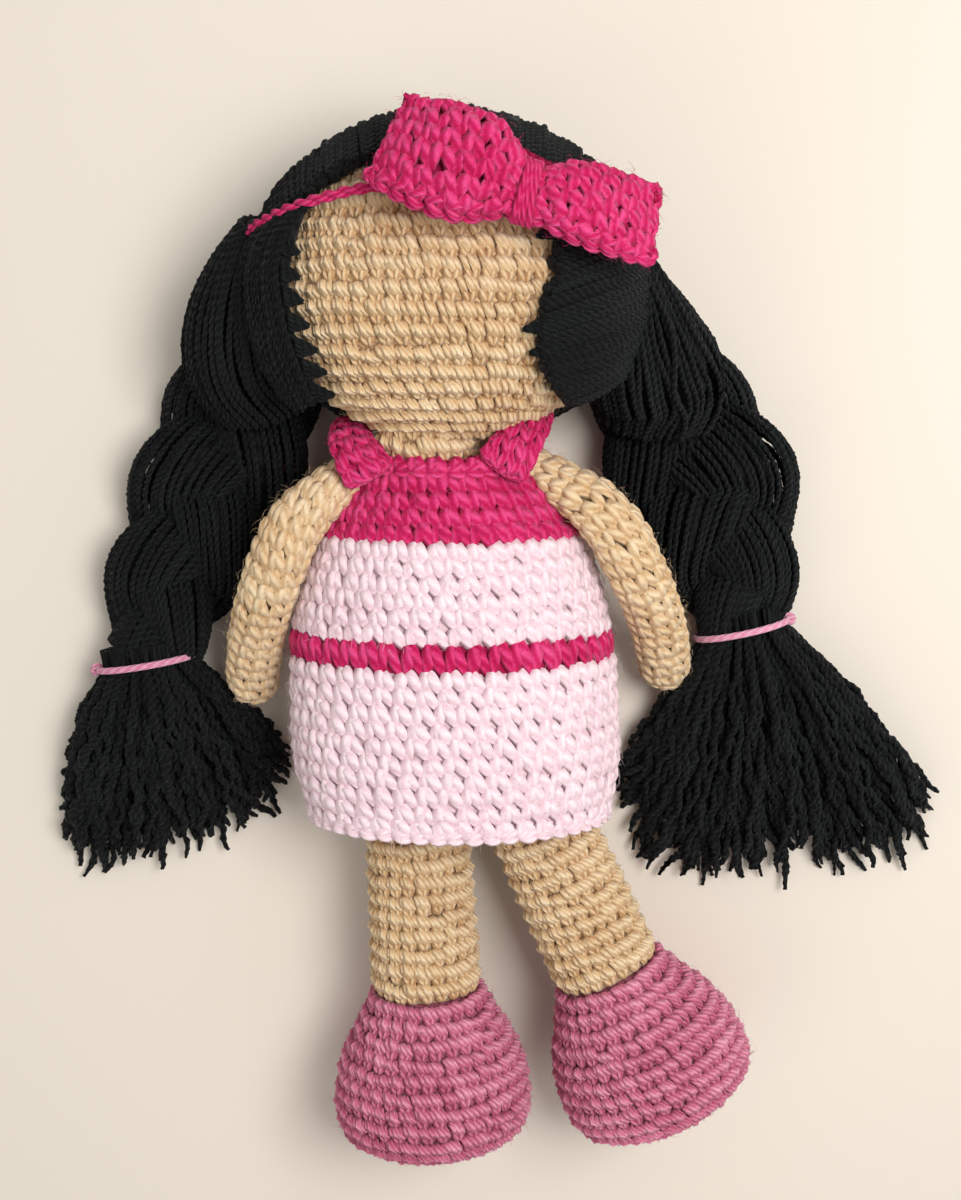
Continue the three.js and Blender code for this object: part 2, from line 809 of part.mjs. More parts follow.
// Locks fan out from the root and lie down on the ground at their tips.
function tasselForm(route, side, fan) {
  const pivot = tasselPivot(route, side, fan);
  const { forward } = tieFrame(route, side);
  const base = Math.atan2(forward.y, forward.x) + THREE.MathUtils.degToRad(fan.turn);
  const root = knotBall(pivot, tassel.rootRadius);
  const tipZ = groundZ - pressedFlat + tassel.lockHalfThickness;
  const lastLock = fan.lockShares.length - 1;
  const step = THREE.MathUtils.degToRad(fan.spread) / lastLock;
  const tipHalfWidth = fan.length * step * tassel.lockOverlapShare;
  const detail = {
    rings: lockRings,
    sides: lockSides,
    endShare: lockEndShare,
    endRings: coarseEndRingShares,
  };
  const locks = fan.lockShares.map((lengthShare, i) => {
    const angle = base + step * (i - lastLock / 2);
    const reach = fan.length * lengthShare;
    const direction = new THREE.Vector3(Math.cos(angle), Math.sin(angle), 0);
    const middle = pivot.clone().addScaledVector(direction, reach / 2);
    middle.z = THREE.MathUtils.lerp(tipZ, pivot.z, lockSagShare);
    const tip = pivot.clone().addScaledVector(direction, reach);
    tip.z = tipZ;
    const curve = new THREE.CatmullRomCurve3([pivot.clone(), middle, tip]);
    const size = (share) => ({
      halfWidth: THREE.MathUtils.lerp(tipHalfWidth / 2, tipHalfWidth, share),
      halfThickness: tassel.lockHalfThickness,
    });
    const across = new THREE.Vector3(0, 0, 1).cross(direction);
    return solid(ovalTube(curve, across, size, detail));
  });
  return locks.reduce((whole, lock) => whole.add(lock), root).intersect(aboveGround);
}

// Assembly

function material(finish) {
  return new THREE.MeshStandardMaterial(finish);
}

function mesh(name, shape, finish) {
  const geometry = shape instanceof wasm.Manifold ? geometryOf(shape) : closed(shape);
  geometry.computeVertexNormals();
  const piece = new THREE.Mesh(geometry, material(finish));
  piece.name = name;
  return piece;
}

function bodyGroup() {
  const group = new THREE.Group();
  group.add(
    mesh('torso_skin', torsoSkin(), yarn.skin),
    mesh('torso_stuffing', torsoStuffing(), yarn.stuffing),
    mesh('dress_bodice', bodice(), yarn.hotPink),
    mesh('dress_band', dressSection(bandStartShare, stripeStartShare, 4), yarn.palePink),
    mesh('dress_stripe', dressSection(stripeStartShare, stripeEndShare, 2), yarn.hotPink),
    mesh('dress_skirt', dressSection(stripeEndShare, 1, 6), yarn.palePink),
    mesh('dress_strap_left', shoulderStrap(strap.leftFootX, strap.leftTopX), yarn.hotPink),
    mesh('dress_strap_right', shoulderStrap(strap.rightFootX, strap.rightTopX), yarn.hotPink),
  );
  return group;
}

function bowGroup() {
  const group = new THREE.Group();
  const share = { x: bow.centreX / hairHalf.x, y: bow.aboveHeadCentre / hairHalf.y };
  const hairZ = headCentreZ + hairHalf.z * Math.sqrt(1 - share.x ** 2 - share.y ** 2);
  const seat = 2 * headband.cordRadius + bow.pinchHalfThickness + wrap.thickness;
  group.position.set(bow.centreX, head.centreY + bow.aboveHeadCentre, hairZ + seat);
  group.rotation.set(0, THREE.MathUtils.degToRad(bow.lean), THREE.MathUtils.degToRad(bow.turn));
  group.add(
    mesh('bow', bowForm(), yarn.hotPink),
    mesh('bow_wrap', wrapForm(), yarn.hotPink),
  );
  return group;
}

function headGroup() {
  const group = new THREE.Group();
  group.add(
    mesh('head_skin', headSkin(), yarn.skin),
    mesh('head_stuffing', headStuffing(), yarn.stuffing),
    mesh('hair_left', hairSide(-1), yarn.black),
    mesh('hair_right', hairSide(1), yarn.black),
    mesh('headband', headbandCord(), yarn.hotPink),
    bowGroup(),
  );
  return group;
}

function plaitGroup(sideName, side, route, fan) {
  const group = new THREE.Group();
  for (let number = 0; number < strandCount; number += 1) {
    const strand = plaitStrand(route, side, number);
    group.add(mesh(`plait_${sideName}_strand_${number + 1}`, strand, yarn.black));
  }
  group.add(
    mesh(`plait_${sideName}_tie`, plaitTie(route, side), yarn.lightPink),
    mesh(`tassel_${sideName}`, tasselForm(route, side, fan), yarn.black),
  );
  return group;
}

function armGroup(sideName, side, rootX, run) {
  const group = new THREE.Group();
  group.position.set(rootX, armRootY, arm.rootZ);
  const throat = arm.throatHalfWidth;
  const outside = armForm(run, side, { inset: 0, pastRoot: 0, throat });
  const hollow = armForm(run, side, { inset: armWall, pastRoot: overrun, throat });
  const fillingSize = { inset: armWall + 2 * gap, pastRoot: -gap, throat: throat - gap };
  const filling = armForm(run, side, fillingSize);
  group.add(
    mesh(`arm_${sideName}`, outside.subtract(hollow), yarn.skin),
    mesh(`arm_${sideName}_stuffing`, filling, yarn.stuffing),
  );
  return group;
}

function legGroup(sideName, hipX, splay) {
  const group = new THREE.Group();
  group.position.set(hipX, hipY, hipZ);
  group.rotation.z = THREE.MathUtils.degToRad(splay);
  group.add(
    mesh(`leg_${sideName}`, legSkin(), yarn.skin),
    mesh(`shoe_${sideName}`, shoeSkin(), yarn.duskyPink),
    mesh(`leg_${sideName}_stuffing`, legStuffing(), yarn.stuffing),
  );
  return group;
}

const doll = new THREE.Group();
doll.name = 'crocheted_doll';
doll.add(
  bodyGroup(),
  headGroup(),
  plaitGroup('left', -1, leftPlaitRoute, leftTassel),
  plaitGroup('right', 1, rightPlaitRoute, rightTassel),
  armGroup('left', -1, leftArmRootX, leftArmRun),
  armGroup('right', 1, rightArmRootX, rightArmRun),
  legGroup('left', leg.leftHipX, leg.leftSplay),
  legGroup('right', leg.rightHipX, leg.rightSplay),
);

// The origin lies under the middle of the whole doll, on the ground.
const bounds = new THREE.Box3().setFromObject(doll);
const middle = bounds.getCenter(new THREE.Vector3());
doll.position.set(-middle.x, -middle.y, -bounds.min.z);
doll.updateMatrixWorld(true);

export default doll;
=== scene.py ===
"""Looks of a crocheted doll that lies on its back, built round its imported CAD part.

Sizes are millimetres in the doll's own frame: x = 0 is the doll's middle, +Y runs to the top of
its head, +Z up out of its front, and the ground is z = 0. Every mesh is turned into metres in the
part's frame when it is made. Left is -X and right is +X, as one looks down on the doll.
"""

import logging
import math
from dataclasses import dataclass, field
from enum import Enum
from typing import Callable, Optional, Sequence

import bmesh
import bpy
import numpy as np
from mathutils import Matrix, Vector


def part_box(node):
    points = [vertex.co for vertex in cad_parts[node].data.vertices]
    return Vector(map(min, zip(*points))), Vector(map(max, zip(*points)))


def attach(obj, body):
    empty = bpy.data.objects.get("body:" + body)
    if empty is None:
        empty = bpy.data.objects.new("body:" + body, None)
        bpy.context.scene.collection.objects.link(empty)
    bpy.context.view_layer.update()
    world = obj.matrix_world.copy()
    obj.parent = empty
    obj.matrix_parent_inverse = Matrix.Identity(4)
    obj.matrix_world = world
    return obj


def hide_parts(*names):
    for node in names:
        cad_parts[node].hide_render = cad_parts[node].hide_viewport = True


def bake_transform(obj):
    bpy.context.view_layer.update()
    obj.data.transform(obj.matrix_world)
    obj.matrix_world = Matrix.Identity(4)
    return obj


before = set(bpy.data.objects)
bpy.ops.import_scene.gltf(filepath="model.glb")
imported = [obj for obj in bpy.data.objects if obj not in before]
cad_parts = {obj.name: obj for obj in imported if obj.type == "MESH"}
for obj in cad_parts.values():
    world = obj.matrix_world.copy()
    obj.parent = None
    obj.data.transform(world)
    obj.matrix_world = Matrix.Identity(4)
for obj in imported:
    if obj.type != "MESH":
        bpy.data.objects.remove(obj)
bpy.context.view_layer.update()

LOG = logging.getLogger("crocheted_doll")
Array = np.ndarray
Noise = np.random.Generator
# A twisted yarn's thickness over its width, how far on the plies of each next yarn start, and
# the turn that brings the groove between two plies to where the yarn is thin.
PLY_FLATNESS = 0.62
PLY_STEP = 0.37
GROOVE_TURN = 0.125
# A yarn laid in a bundle is drawn a little thicker than it counts, so that no gap shows.
LAID_FULLNESS = 1.12
# How much the shades of single yarns differ.
TINT_SPREAD = 0.5
# Where a skin folds back inside an open mouth: the share of its rings that its outer side ends
# at, and the share that its inner side starts from.
OUTER_SHARE, INNER_SHARE = 0.58, 0.64
SKIN_PLIES = (40.0, 2.0)
# The skin under the stitches is tinted dark as painted shade in the gaps between them.
SKIN_PAINTED_SHADE = -0.6
FLOOR_GAP = 0.02
UP, ACROSS = (0.0, 0.0, 1.0), (1.0, 0.0, 0.0)


class Side(Enum):
    """The two sides of the doll, as one looks down on it."""

    LEFT = -1
    RIGHT = 1

    @property
    def word(self) -> str:
        """Returns the side's name as it stands in the part's node names."""
        return self.name.lower()


# Sizes that the soft forms share with the part


@dataclass(frozen=True)
class HeadSizes:
    """The head's ball and the hair round it."""

    half: tuple = (43.0, 38.0, 34.5)
    centre: tuple = (0.0, 19.0, 37.3)
    hair_half: tuple = (50.0, 43.5, 37.8)
    lowest_yarn: float = 1.0


@dataclass(frozen=True)
class DressSizes:
    """The dress as a leaning oval tube."""

    top_y: float = -25.0
    length: float = 91.0
    half_width: float = 42.0
    half_depth: float = 28.0
    lean: float = 2.6
    centre_z: float = 27.5
    width_shares: tuple = (0.58, 0.805, 0.917, 0.986, 1.0, 1.0, 0.924)
    depth_shares: tuple = (0.79, 0.91, 0.98, 1.0, 1.0, 1.0, 0.96)
    band_start: float = 0.192
    stripe_start: float = 0.462
    stripe_end: float = 0.538


HEAD = HeadSizes()
DRESS = DressSizes()


def doll_place() -> Array:
    """Finds where the doll's own middle lies in the part's frame, from the head's box.

    Returns:
        The shift in millimetres from the doll's own frame to the part's.
    """
    low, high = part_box("head_skin")
    top = HEAD.centre[1] + HEAD.half[1]
    return np.array([(low.x + high.x) * 500.0 - HEAD.centre[0], high.y * 1000.0 - top, 0.0])


PLACE = doll_place()


def metres(place: Array) -> tuple:
    """Returns a place in the part's frame, in metres."""
    return tuple(float(v) for v in (np.asarray(place) + PLACE) / 1000)


# Curves and shares


def unit(vectors: Array) -> Array:
    """Returns the vectors made one long, along their last axis."""
    return vectors / np.maximum(np.linalg.norm(vectors, axis=-1, keepdims=True), 1e-9)


def smooth_shares(shares: Sequence[float]) -> Callable[[Array], Array]:
    """Makes a smooth curve through evenly spaced shares.

    Args:
        shares: Values at even steps from 0 to 1.

    Returns:
        A function that reads the curve at any share of the way.
    """
    values = np.array([2 * shares[0] - shares[1], *shares, 2 * shares[-1] - shares[-2]])
    count = len(shares) - 1

    def read(at: Array) -> Array:
        """Returns the curve's value at shares `at`."""
        place = np.clip(at, 0, 1) * count
        step = np.minimum(place.astype(int), count - 1)
        t = place - step
        a, b, c, d = (values[step + k] for k in range(4))
        return 0.5 * (2 * b + (c - a) * t + (2 * a - 5 * b + 4 * c - d) * t**2
                      + (3 * b - a - 3 * c + d) * t**3)

    return read


class Route:
    """A smooth line through a few points, read at shares of its length."""

    def __init__(self, points: Sequence[Sequence[float]], steps: int = 40) -> None:
        """Runs a smooth line through the points.

        Args:
            points: The places it passes.
            steps: How many short pieces make each stretch.
        """
        given = np.array(points, float)
        ends = [2 * given[0] - given[1], *given, 2 * given[-1] - given[-2]]
        line = []
        for a, b, c, d in zip(ends, ends[1:], ends[2:], ends[3:]):
            k = [max(np.linalg.norm(q - p), 1e-6) ** 0.5 for p, q in ((a, b), (b, c), (c, d))]
            m1 = (b - a) / k[0] - (c - a) / (k[0] + k[1]) + (c - b) / k[1]
            m2 = (c - b) / k[1] - (d - b) / (k[1] + k[2]) + (d - c) / k[2]
            m1, m2 = m1 * k[1], m2 * k[1]
            t = np.linspace(0, 1, steps, endpoint=False)[:, None]
            line.append((2 * t**3 - 3 * t**2 + 1) * b + (t**3 - 2 * t**2 + t) * m1
                        + (3 * t**2 - 2 * t**3) * c + (t**3 - t**2) * m2)
        self.line = np.vstack([*line, given[-1:]])
        gaps = np.linalg.norm(np.diff(self.line, axis=0), axis=1)
        self.length = float(gaps.sum())
        self.shares = np.concatenate([[0], np.cumsum(gaps)]) / self.length

    def at(self, share: Array) -> Array:
        """Returns the points at shares of the length."""
        share = np.asarray(share, float)
        return np.stack([np.interp(share, self.shares, self.line[:, k]) for k in range(3)], -1)

    def along(self, share: Array) -> Array:
        """Returns the forward directions at shares of the length."""
        share = np.asarray(share, float)
        step = 0.01
        return unit(self.at(np.minimum(share + step, 1)) - self.at(np.maximum(share - step, 0)))


def bend(first: Array, middle: Array, last: Array, rings: int) -> Array:
    """Returns curves from `first` over towards `middle` to `last`, with `rings` points each."""
    t = np.linspace(0, 1, rings)[None, :, None]
    return (1 - t) ** 2 * first[:, None] + 2 * t * (1 - t) * middle[:, None] + t**2 * last[:, None]


# Yarn and skins as meshes


class TubeMould:
    """Tubes of a given count of rings and sides, rolled once from a grid and then copied."""

    made: dict = {}

    def __init__(self, rings: int, sides: int) -> None:
        """Rolls a grid into a tube and closes its ends.

        Args:
            rings: Rings of points along the tube.
            sides: Points round each ring.
        """
        mesh = bmesh.new()
        grid = bmesh.ops.create_grid(
            mesh, x_segments=sides, y_segments=rings - 1, size=0.5, calc_uvs=False
        )
        layer = mesh.loops.layers.uv.new("yarn")
        for face in mesh.faces:
            for loop in face.loops:
                loop[layer].uv = (loop.vert.co.x + 0.5, loop.vert.co.y + 0.5)
        for vert in grid["verts"]:
            turn = 2 * math.pi * (vert.co.x + 0.5)
            vert.co = (math.cos(turn), math.sin(turn), (vert.co.y + 0.5) * (rings - 1))
        bmesh.ops.remove_doubles(mesh, verts=mesh.verts, dist=1e-5)
        bmesh.ops.holes_fill(mesh, edges=mesh.edges, sides=0)
        bmesh.ops.recalc_face_normals(mesh, faces=mesh.faces)
        self.mesh = bpy.data.meshes.new(f"tube_{rings}_{sides}")
        mesh.to_mesh(self.mesh)
        mesh.free()
        count = len(self.mesh.vertices)
        where = np.zeros(count * 3)
        self.mesh.vertices.foreach_get("co", where)
        where = where.reshape(-1, 3)
        self.ring = np.rint(where[:, 2]).astype(int)
        turn = np.arctan2(where[:, 1], where[:, 0]) / (2 * np.pi)
        self.side = np.rint(turn * sides).astype(int) % sides
        loops = len(self.mesh.loops)
        owner = np.zeros(loops, int)
        self.mesh.loops.foreach_get("vertex_index", owner)
        uv = np.zeros(loops * 2)
        self.mesh.uv_layers["yarn"].data.foreach_get("uv", uv)
        self.loop_ring = self.ring[owner]
        self.loop_round = uv.reshape(-1, 2)[:, 0]
        self.rings, self.sides = rings, sides

    @classmethod
    def get(cls, rings: int, sides: int) -> "TubeMould":
        """Returns the mould with these counts, made once."""
        if (rings, sides) not in cls.made:
            cls.made[rings, sides] = cls(rings, sides)
        return cls.made[rings, sides]

    def copies(self, count: int) -> bpy.types.Mesh:
        """Makes one mesh of many copies of the tube, still all in one place.

        Args:
            count: How many copies.

        Returns:
            The mesh, whose copies follow each other in order.
        """
        holder = bpy.data.objects.new("copies", self.mesh)
        bpy.context.scene.collection.objects.link(holder)
        array = holder.modifiers.new("copies", "ARRAY")
        array.count = count
        array.use_relative_offset = False
        array.use_constant_offset = True
        array.constant_offset_displace = (0, 0, 0)
        evaluated = holder.evaluated_get(bpy.context.evaluated_depsgraph_get())
        made = bpy.data.meshes.new_from_object(evaluated)
        bpy.data.objects.remove(holder)
        return made


@dataclass(frozen=True)
class LooseFibres:
    """The fibres that stand off a yarn, in millimetres or as shares of their own length."""

    length: float = 1.9
    length_shares: tuple = (0.35, 1.5)
    radius: float = 0.034
    taper: tuple = (1.3, 1.0, 0.5)
    stand: tuple = (0.05, 0.55)
    root_depth: float = 0.8
    root_spread: float = 0.4
    middle_curl: float = 0.12
    middle_rise: float = 0.08
    end_curl: float = 0.4
    end_fall: float = 0.12


FIBRES = LooseFibres()


@dataclass
class Batch:
    """Tubes of one mould, laid out and ready to be joined into a piece."""

    mesh: bpy.types.Mesh
    points: Array
    uv: Array
    tint: Array


class Piece:
    """One visible piece: yarns and skins gathered and turned into a single object."""

    def __init__(self, name: str, ply_pitch: float = 5.0) -> None:
        """Starts an empty piece.

        Args:
            name: The piece's name.
            ply_pitch: Length in millimetres of one turn of the yarn's plies.
        """
        self.name = name
        self.ply_pitch = ply_pitch
        self.batches: list[Batch] = []

    def tubes(self, lines: Array, up: Array, radius: Array, sides: int = 5,
              tint: Optional[Array] = None, flat: float = 1.0, twisted: bool = False) -> None:
        """Adds tubes along lines.

        Args:
            lines: Points along each tube, as (tubes, rings, 3).
            up: Directions that the tubes' upper sides face, of the same shape.
            radius: Radii that fit (tubes, rings).
            sides: Points round each ring.
            tint: A shade from -1 to 1 for each tube, or for each of its rings.
            flat: Thickness along `up` over width.
            twisted: Whether two plies wind round each other, so that the section turns.
        """
        count, rings = lines.shape[:2]
        if count == 0:
            return
        mould = TubeMould.get(rings, sides)
        forward = unit(np.gradient(lines, axis=1))
        across = unit(np.cross(up, forward))
        lift = np.cross(forward, across)
        width = np.broadcast_to(np.asarray(radius, float), (count, rings)).copy()
        run = np.linalg.norm(np.diff(lines, axis=1), axis=2)
        run = np.concatenate([np.zeros((count, 1)), np.cumsum(run, axis=1)], axis=1)
        run = run / self.ply_pitch
        if twisted:
            wound = (2 * np.pi * (run + PLY_STEP * np.arange(count)[:, None]))[..., None]
            across, lift = (across * np.cos(wound) + lift * np.sin(wound),
                            lift * np.cos(wound) - across * np.sin(wound))
            flat = PLY_FLATNESS
        turn = 2 * np.pi * mould.side / mould.sides
        sideways = across[:, mould.ring] * (np.cos(turn) * width[:, mould.ring])[..., None]
        upward = lift[:, mould.ring] * (np.sin(turn) * flat * width[:, mould.ring])[..., None]
        points = lines[:, mould.ring] + sideways + upward
        around = np.broadcast_to(mould.loop_round, (count, len(mould.loop_round)))
        along = run[:, mould.loop_ring]
        if twisted:
            around = around - along / 2 + GROOVE_TURN
        uv = np.stack([around, along], -1)
        shade = np.zeros(count) if tint is None else np.asarray(tint, float)
        shade = np.broadcast_to(shade[:, None] if shade.ndim == 1 else shade, (count, rings))
        self.batches.append(Batch(mould.copies(count), points.reshape(-1, 3),
                                  uv.reshape(-1, 2), shade[:, mould.ring].ravel()))

    def fuzz(self, lines: Array, up: Array, radius: Array, each: float, noise: Noise) -> None:
        """Adds loose fibres that stand out from the upper sides of yarns, tinted lighter than the
        yarn as painted light.

        Args:
            lines: The yarns' points.
            up: The directions that their upper sides face.
            radius: The yarns' radii.
            each: How many fibres a yarn has on average.
            noise: The source of chance.
        """
        count = int(len(lines) * each)
        if count == 0:
            return
        which = noise.integers(0, len(lines), count)
        ring = noise.integers(1, lines.shape[1] - 1, count)
        out = up[which, ring]
        side = noise.normal(0, 1.0, (count, 3))
        side = side - np.sum(side * out, axis=1)[:, None] * out
        way = unit(out * noise.uniform(*FIBRES.stand, (count, 1)) + unit(side))
        depth = radius[which, ring] * FIBRES.root_depth
        start = lines[which, ring] + unit(out + FIBRES.root_spread * side) * depth[:, None]
        reach = FIBRES.length * noise.uniform(*FIBRES.length_shares, (count, 1))
        curl = unit(noise.normal(0, 1.0, (count, 3)))
        bent = curl * FIBRES.middle_curl + out * FIBRES.middle_rise
        middle = start + way * reach * 0.5 + bent * reach
        end = start + way * reach + (curl * FIBRES.end_curl - out * FIBRES.end_fall) * reach
        fibres = np.stack([start, middle, end], axis=1)
        sizes = np.full((count, 3), FIBRES.radius) * np.array(FIBRES.taper)
        # Painted light: the fibres get only lighter tints than their yarn.
        self.tubes(fibres, np.broadcast_to(out[:, None], fibres.shape), sizes, sides=3,
                   tint=noise.uniform(0.0, 1.0, count))

    def skin(self, surface: "Surface", inset: float, rings: int, sides: int,
             span: tuple = (0.0, 1.0), lining: Optional[float] = None,
             wall: float = 1.6) -> None:
        """Adds the plain fabric that lies under the stitches, tinted dark as painted shade in the
        gaps between them.

        Args:
            surface: The form that it follows.
            inset: Depth in millimetres below that form.
            rings: Rings along it.
            sides: Points round it.
            span: The shares of the form between which it runs.
            lining: Share to which the fabric's inner side runs back from an open mouth at the
                span's end, or None where the end is closed.
            wall: Thickness in millimetres between the outer side and that lining.
        """
        mould = TubeMould.get(rings, sides)
        share = mould.ring / (rings - 1)
        along = span[0] + (span[1] - span[0]) * share
        if lining is not None:
            inside = share > (OUTER_SHARE + INNER_SHARE) / 2
            inset = inset + wall * inside
            back = (share - INNER_SHARE) / (1 - INNER_SHARE)
            out = np.minimum(share / OUTER_SHARE, 1)
            along = np.where(inside, span[1] - (span[1] - lining) * back,
                             span[0] + (span[1] - span[0]) * out)
        around = mould.side / sides
        points = surface.point(around, along) - np.multiply(
            np.broadcast_to(inset, along.shape)[:, None], surface.normal(around, along))
        uv = np.stack([mould.loop_round, mould.loop_ring], -1) * SKIN_PLIES
        # Painted shade: the whole skin gets the dark tint of the gaps between stitches.
        shade = np.full(len(points), SKIN_PAINTED_SHADE)
        self.batches.append(Batch(mould.copies(1), points, uv, shade))

    def build(self, finish: "YarnFinish", nodes: Sequence[str],
              body: Optional[str] = None) -> bpy.types.Object:
        """Joins everything into one object in the part's frame, in its finish.

        Args:
            finish: The yarn that it is made of.
            nodes: The CAD nodes that it stands for.
            body: The CAD body that it rides on, or None where it is left free of any body.

        Returns:
            The finished object, at the origin.
        """
        joined = bmesh.new()
        for batch in self.batches:
            joined.from_mesh(batch.mesh)
            bpy.data.meshes.remove(batch.mesh)
        mesh = bpy.data.meshes.new(self.name)
        joined.to_mesh(mesh)
        joined.free()
        points = np.vstack([batch.points for batch in self.batches])
        points[:, 2] = np.maximum(points[:, 2], FLOOR_GAP)
        mesh.vertices.foreach_set("co", ((points + PLACE) / 1000).ravel())
        layer = mesh.uv_layers.get("yarn") or mesh.uv_layers.new(name="yarn")
        layer.data.foreach_set("uv", np.vstack([batch.uv for batch in self.batches]).ravel())
        tint = mesh.attributes.new("tint", "FLOAT", "POINT")
        tint.data.foreach_set("value", np.concatenate([batch.tint for batch in self.batches]))
        mesh.shade_smooth()
        mesh.materials.append(finish.material())
        mesh.update()
        made = bpy.data.objects.new(self.name, mesh)
        bpy.context.scene.collection.objects.link(made)
        if body is not None:
            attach(made, body)
        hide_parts(*nodes)
        LOG.info("%s: %d faces", self.name, len(mesh.polygons))
        return made


# Soft forms that the stitches lie on


class Surface:
    """A round soft form, read by shares round it and along it."""

    def point(self, around: Array, along: Array) -> Array:
        """Returns the places on the form's outside."""
        raise NotImplementedError

    def normal(self, around: Array, along: Array) -> Array:
        """Returns the outward directions, from small steps both ways."""
        step, edge = 0.004, 0.0005
        low = np.clip(np.asarray(along, float) - step, edge, 1 - edge)
        high = np.clip(np.asarray(along, float) + step, edge, 1 - edge)
        middle = (low + high) / 2
        across = self.point(around + step, middle) - self.point(around - step, middle)
        down = self.point(around, high) - self.point(around, low)
        return unit(np.cross(across, down))


@dataclass
class Ball(Surface):
    """An egg-shaped form whose rounds run from its top, at +Y, to its bottom."""

    centre: tuple
    half: tuple

    def point(self, around: Array, along: Array) -> Array:
        """Returns the places on the ball."""
        turn, fall = 2 * np.pi * np.asarray(around), np.pi * np.asarray(along)
        x = self.centre[0] + self.half[0] * np.sin(fall) * np.cos(turn)
        y = self.centre[1] + self.half[1] * np.cos(fall)
        z = self.centre[2] + self.half[2] * np.sin(fall) * np.sin(turn)
        return np.stack([x, y, z], -1)


@dataclass
class DressForm(Surface):
    """The leaning oval of the dress, from a share of its length above its top to its hem."""

    start: float = 0.0
    end: float = 1.0
    grow: float = 0.0
    widths: Callable = field(default_factory=lambda: smooth_shares(DRESS.width_shares))
    depths: Callable = field(default_factory=lambda: smooth_shares(DRESS.depth_shares))

    def point(self, around: Array, along: Array) -> Array:
        """Returns the places on the dress."""
        share = self.start + (self.end - self.start) * np.asarray(along, float)
        turn = 2 * np.pi * np.asarray(around)
        x = (DRESS.half_width * self.widths(share) + self.grow) * np.cos(turn)
        z = (DRESS.half_depth * self.depths(share) + self.grow) * np.sin(turn)
        y = DRESS.top_y - share * DRESS.length
        lean = DRESS.lean * share * np.abs(share)
        return np.stack([x + lean, np.broadcast_to(y, x.shape), DRESS.centre_z + z], -1)


@dataclass
class TubeForm(Surface):
    """A round form along a route, with a half width and half thickness at each share."""

    route: Route
    width: Callable
    thickness: Callable

    def point(self, around: Array, along: Array) -> Array:
        """Returns the places on the tube."""
        along = np.asarray(along, float)
        forward = self.route.along(along)
        wide = unit(np.array(ACROSS) - (forward @ np.array(ACROSS))[..., None] * forward)
        thick = np.cross(forward, wide)
        turn = 2 * np.pi * np.asarray(around)
        return (self.route.at(along) + wide * (self.width(along) * np.cos(turn))[..., None]
                + thick * (self.thickness(along) * np.sin(turn))[..., None])


def rounded(share: Array, start: float, end: float) -> Array:
    """Says how full a tube with round ends is.

    Args:
        share: Places along it.
        start: Share over which its start rounds, or 0 for an open start.
        end: Share over which its end rounds, or 0 for an open end.

    Returns:
        Fullness from 0 to 1.
    """
    share = np.asarray(share, float)
    full = np.ones_like(share)
    if start > 0:
        full = full * np.sqrt(np.maximum(1 - np.clip(1 - share / start, 0, 1) ** 2, 1e-6))
    if end > 0:
        full = full * np.sqrt(np.maximum(1 - np.clip(1 - (1 - share) / end, 0, 1) ** 2, 1e-6))
    return full


# Single crochet


@dataclass(frozen=True)
class Gauge:
    """How large one stitch is, how it stands out, and how unevenly a hand works it."""

    stitch: float = 4.35
    row: float = 4.3
    yarn_radius: float = 1.18
    sink: float = 1.5
    unevenness: float = 0.09
    place_share: float = 0.25
    size_share: float = 0.6
    apart: float = 0.045
    wave: float = 0.07
    waves: int = 3
    wave_step: float = 0.37
    shade: float = 0.4
    fibres: float = 1.0
    lean: float = 0.06


@dataclass(frozen=True)
class Stitch:
    """The yarns that show in one stitch: across in stitches, up in rows, out in yarn radii."""

    yarns: tuple
    taper: tuple = (0.72, 0.95, 1.05, 1.1, 1.05, 0.95, 0.72)
    flat: float = 0.85


def mirrored(line: tuple) -> tuple:
    """Returns a yarn of a stitch turned over to its other side."""
    return tuple((-across, up, out) for across, up, out in line)


def shifted(line: tuple, by: float) -> tuple:
    """Returns a yarn of a stitch moved along its round by a share of a stitch."""
    return tuple((across + by, up, out) for across, up, out in line)


def leaning(line: tuple) -> tuple:
    """Returns a yarn of a stitch that leans back along its round the further up it goes."""
    slope, still = 0.14, 0.3
    return tuple((across + slope * (up - still), up, out) for across, up, out in line)


# A stitch seen from its right side is a V; one seen from its wrong side is a slanting bump of
# the loop's top, with the two legs sunk between one round and the next.
VEE_LEG = ((0.02, -0.64, -1.0), (-0.02, -0.36, -0.45), (-0.08, -0.02, 0.1), (-0.18, 0.34, 0.5),
           (-0.30, 0.68, 0.72), (-0.42, 0.98, 0.62), (-0.49, 1.22, -0.4))
SLANT = ((0.25, 1.12, -0.9), (0.17, 0.96, 0.3), (0.03, 0.72, 0.95), (-0.12, 0.48, 0.45),
         (-0.21, 0.31, -0.9))
SIDE_SLANT = ((0.23, 1.07, -1.0), (0.16, 0.93, 0.05), (0.03, 0.70, 0.6), (-0.11, 0.48, 0.2),
              (-0.19, 0.33, -1.0))
SUNK_LEG = ((0.03, -0.12, -0.9), (-0.09, 0.06, -0.2), (-0.19, 0.26, 0.05), (-0.27, 0.46, -0.1),
            (-0.30, 0.70, -0.9))
VEE = Stitch((leaning(VEE_LEG), leaning(mirrored(VEE_LEG))),
             taper=(0.4, 0.6, 0.88, 1.06, 1.16, 1.14, 0.86), flat=0.56)
SIDE_SHIFT = 0.29
RIDGE = Stitch((SLANT, shifted(SIDE_SLANT, SIDE_SHIFT), shifted(SIDE_SLANT, -SIDE_SHIFT), SUNK_LEG,
                mirrored(SUNK_LEG)), taper=(0.62, 0.78, 0.88, 0.92, 0.88, 0.78, 0.62))
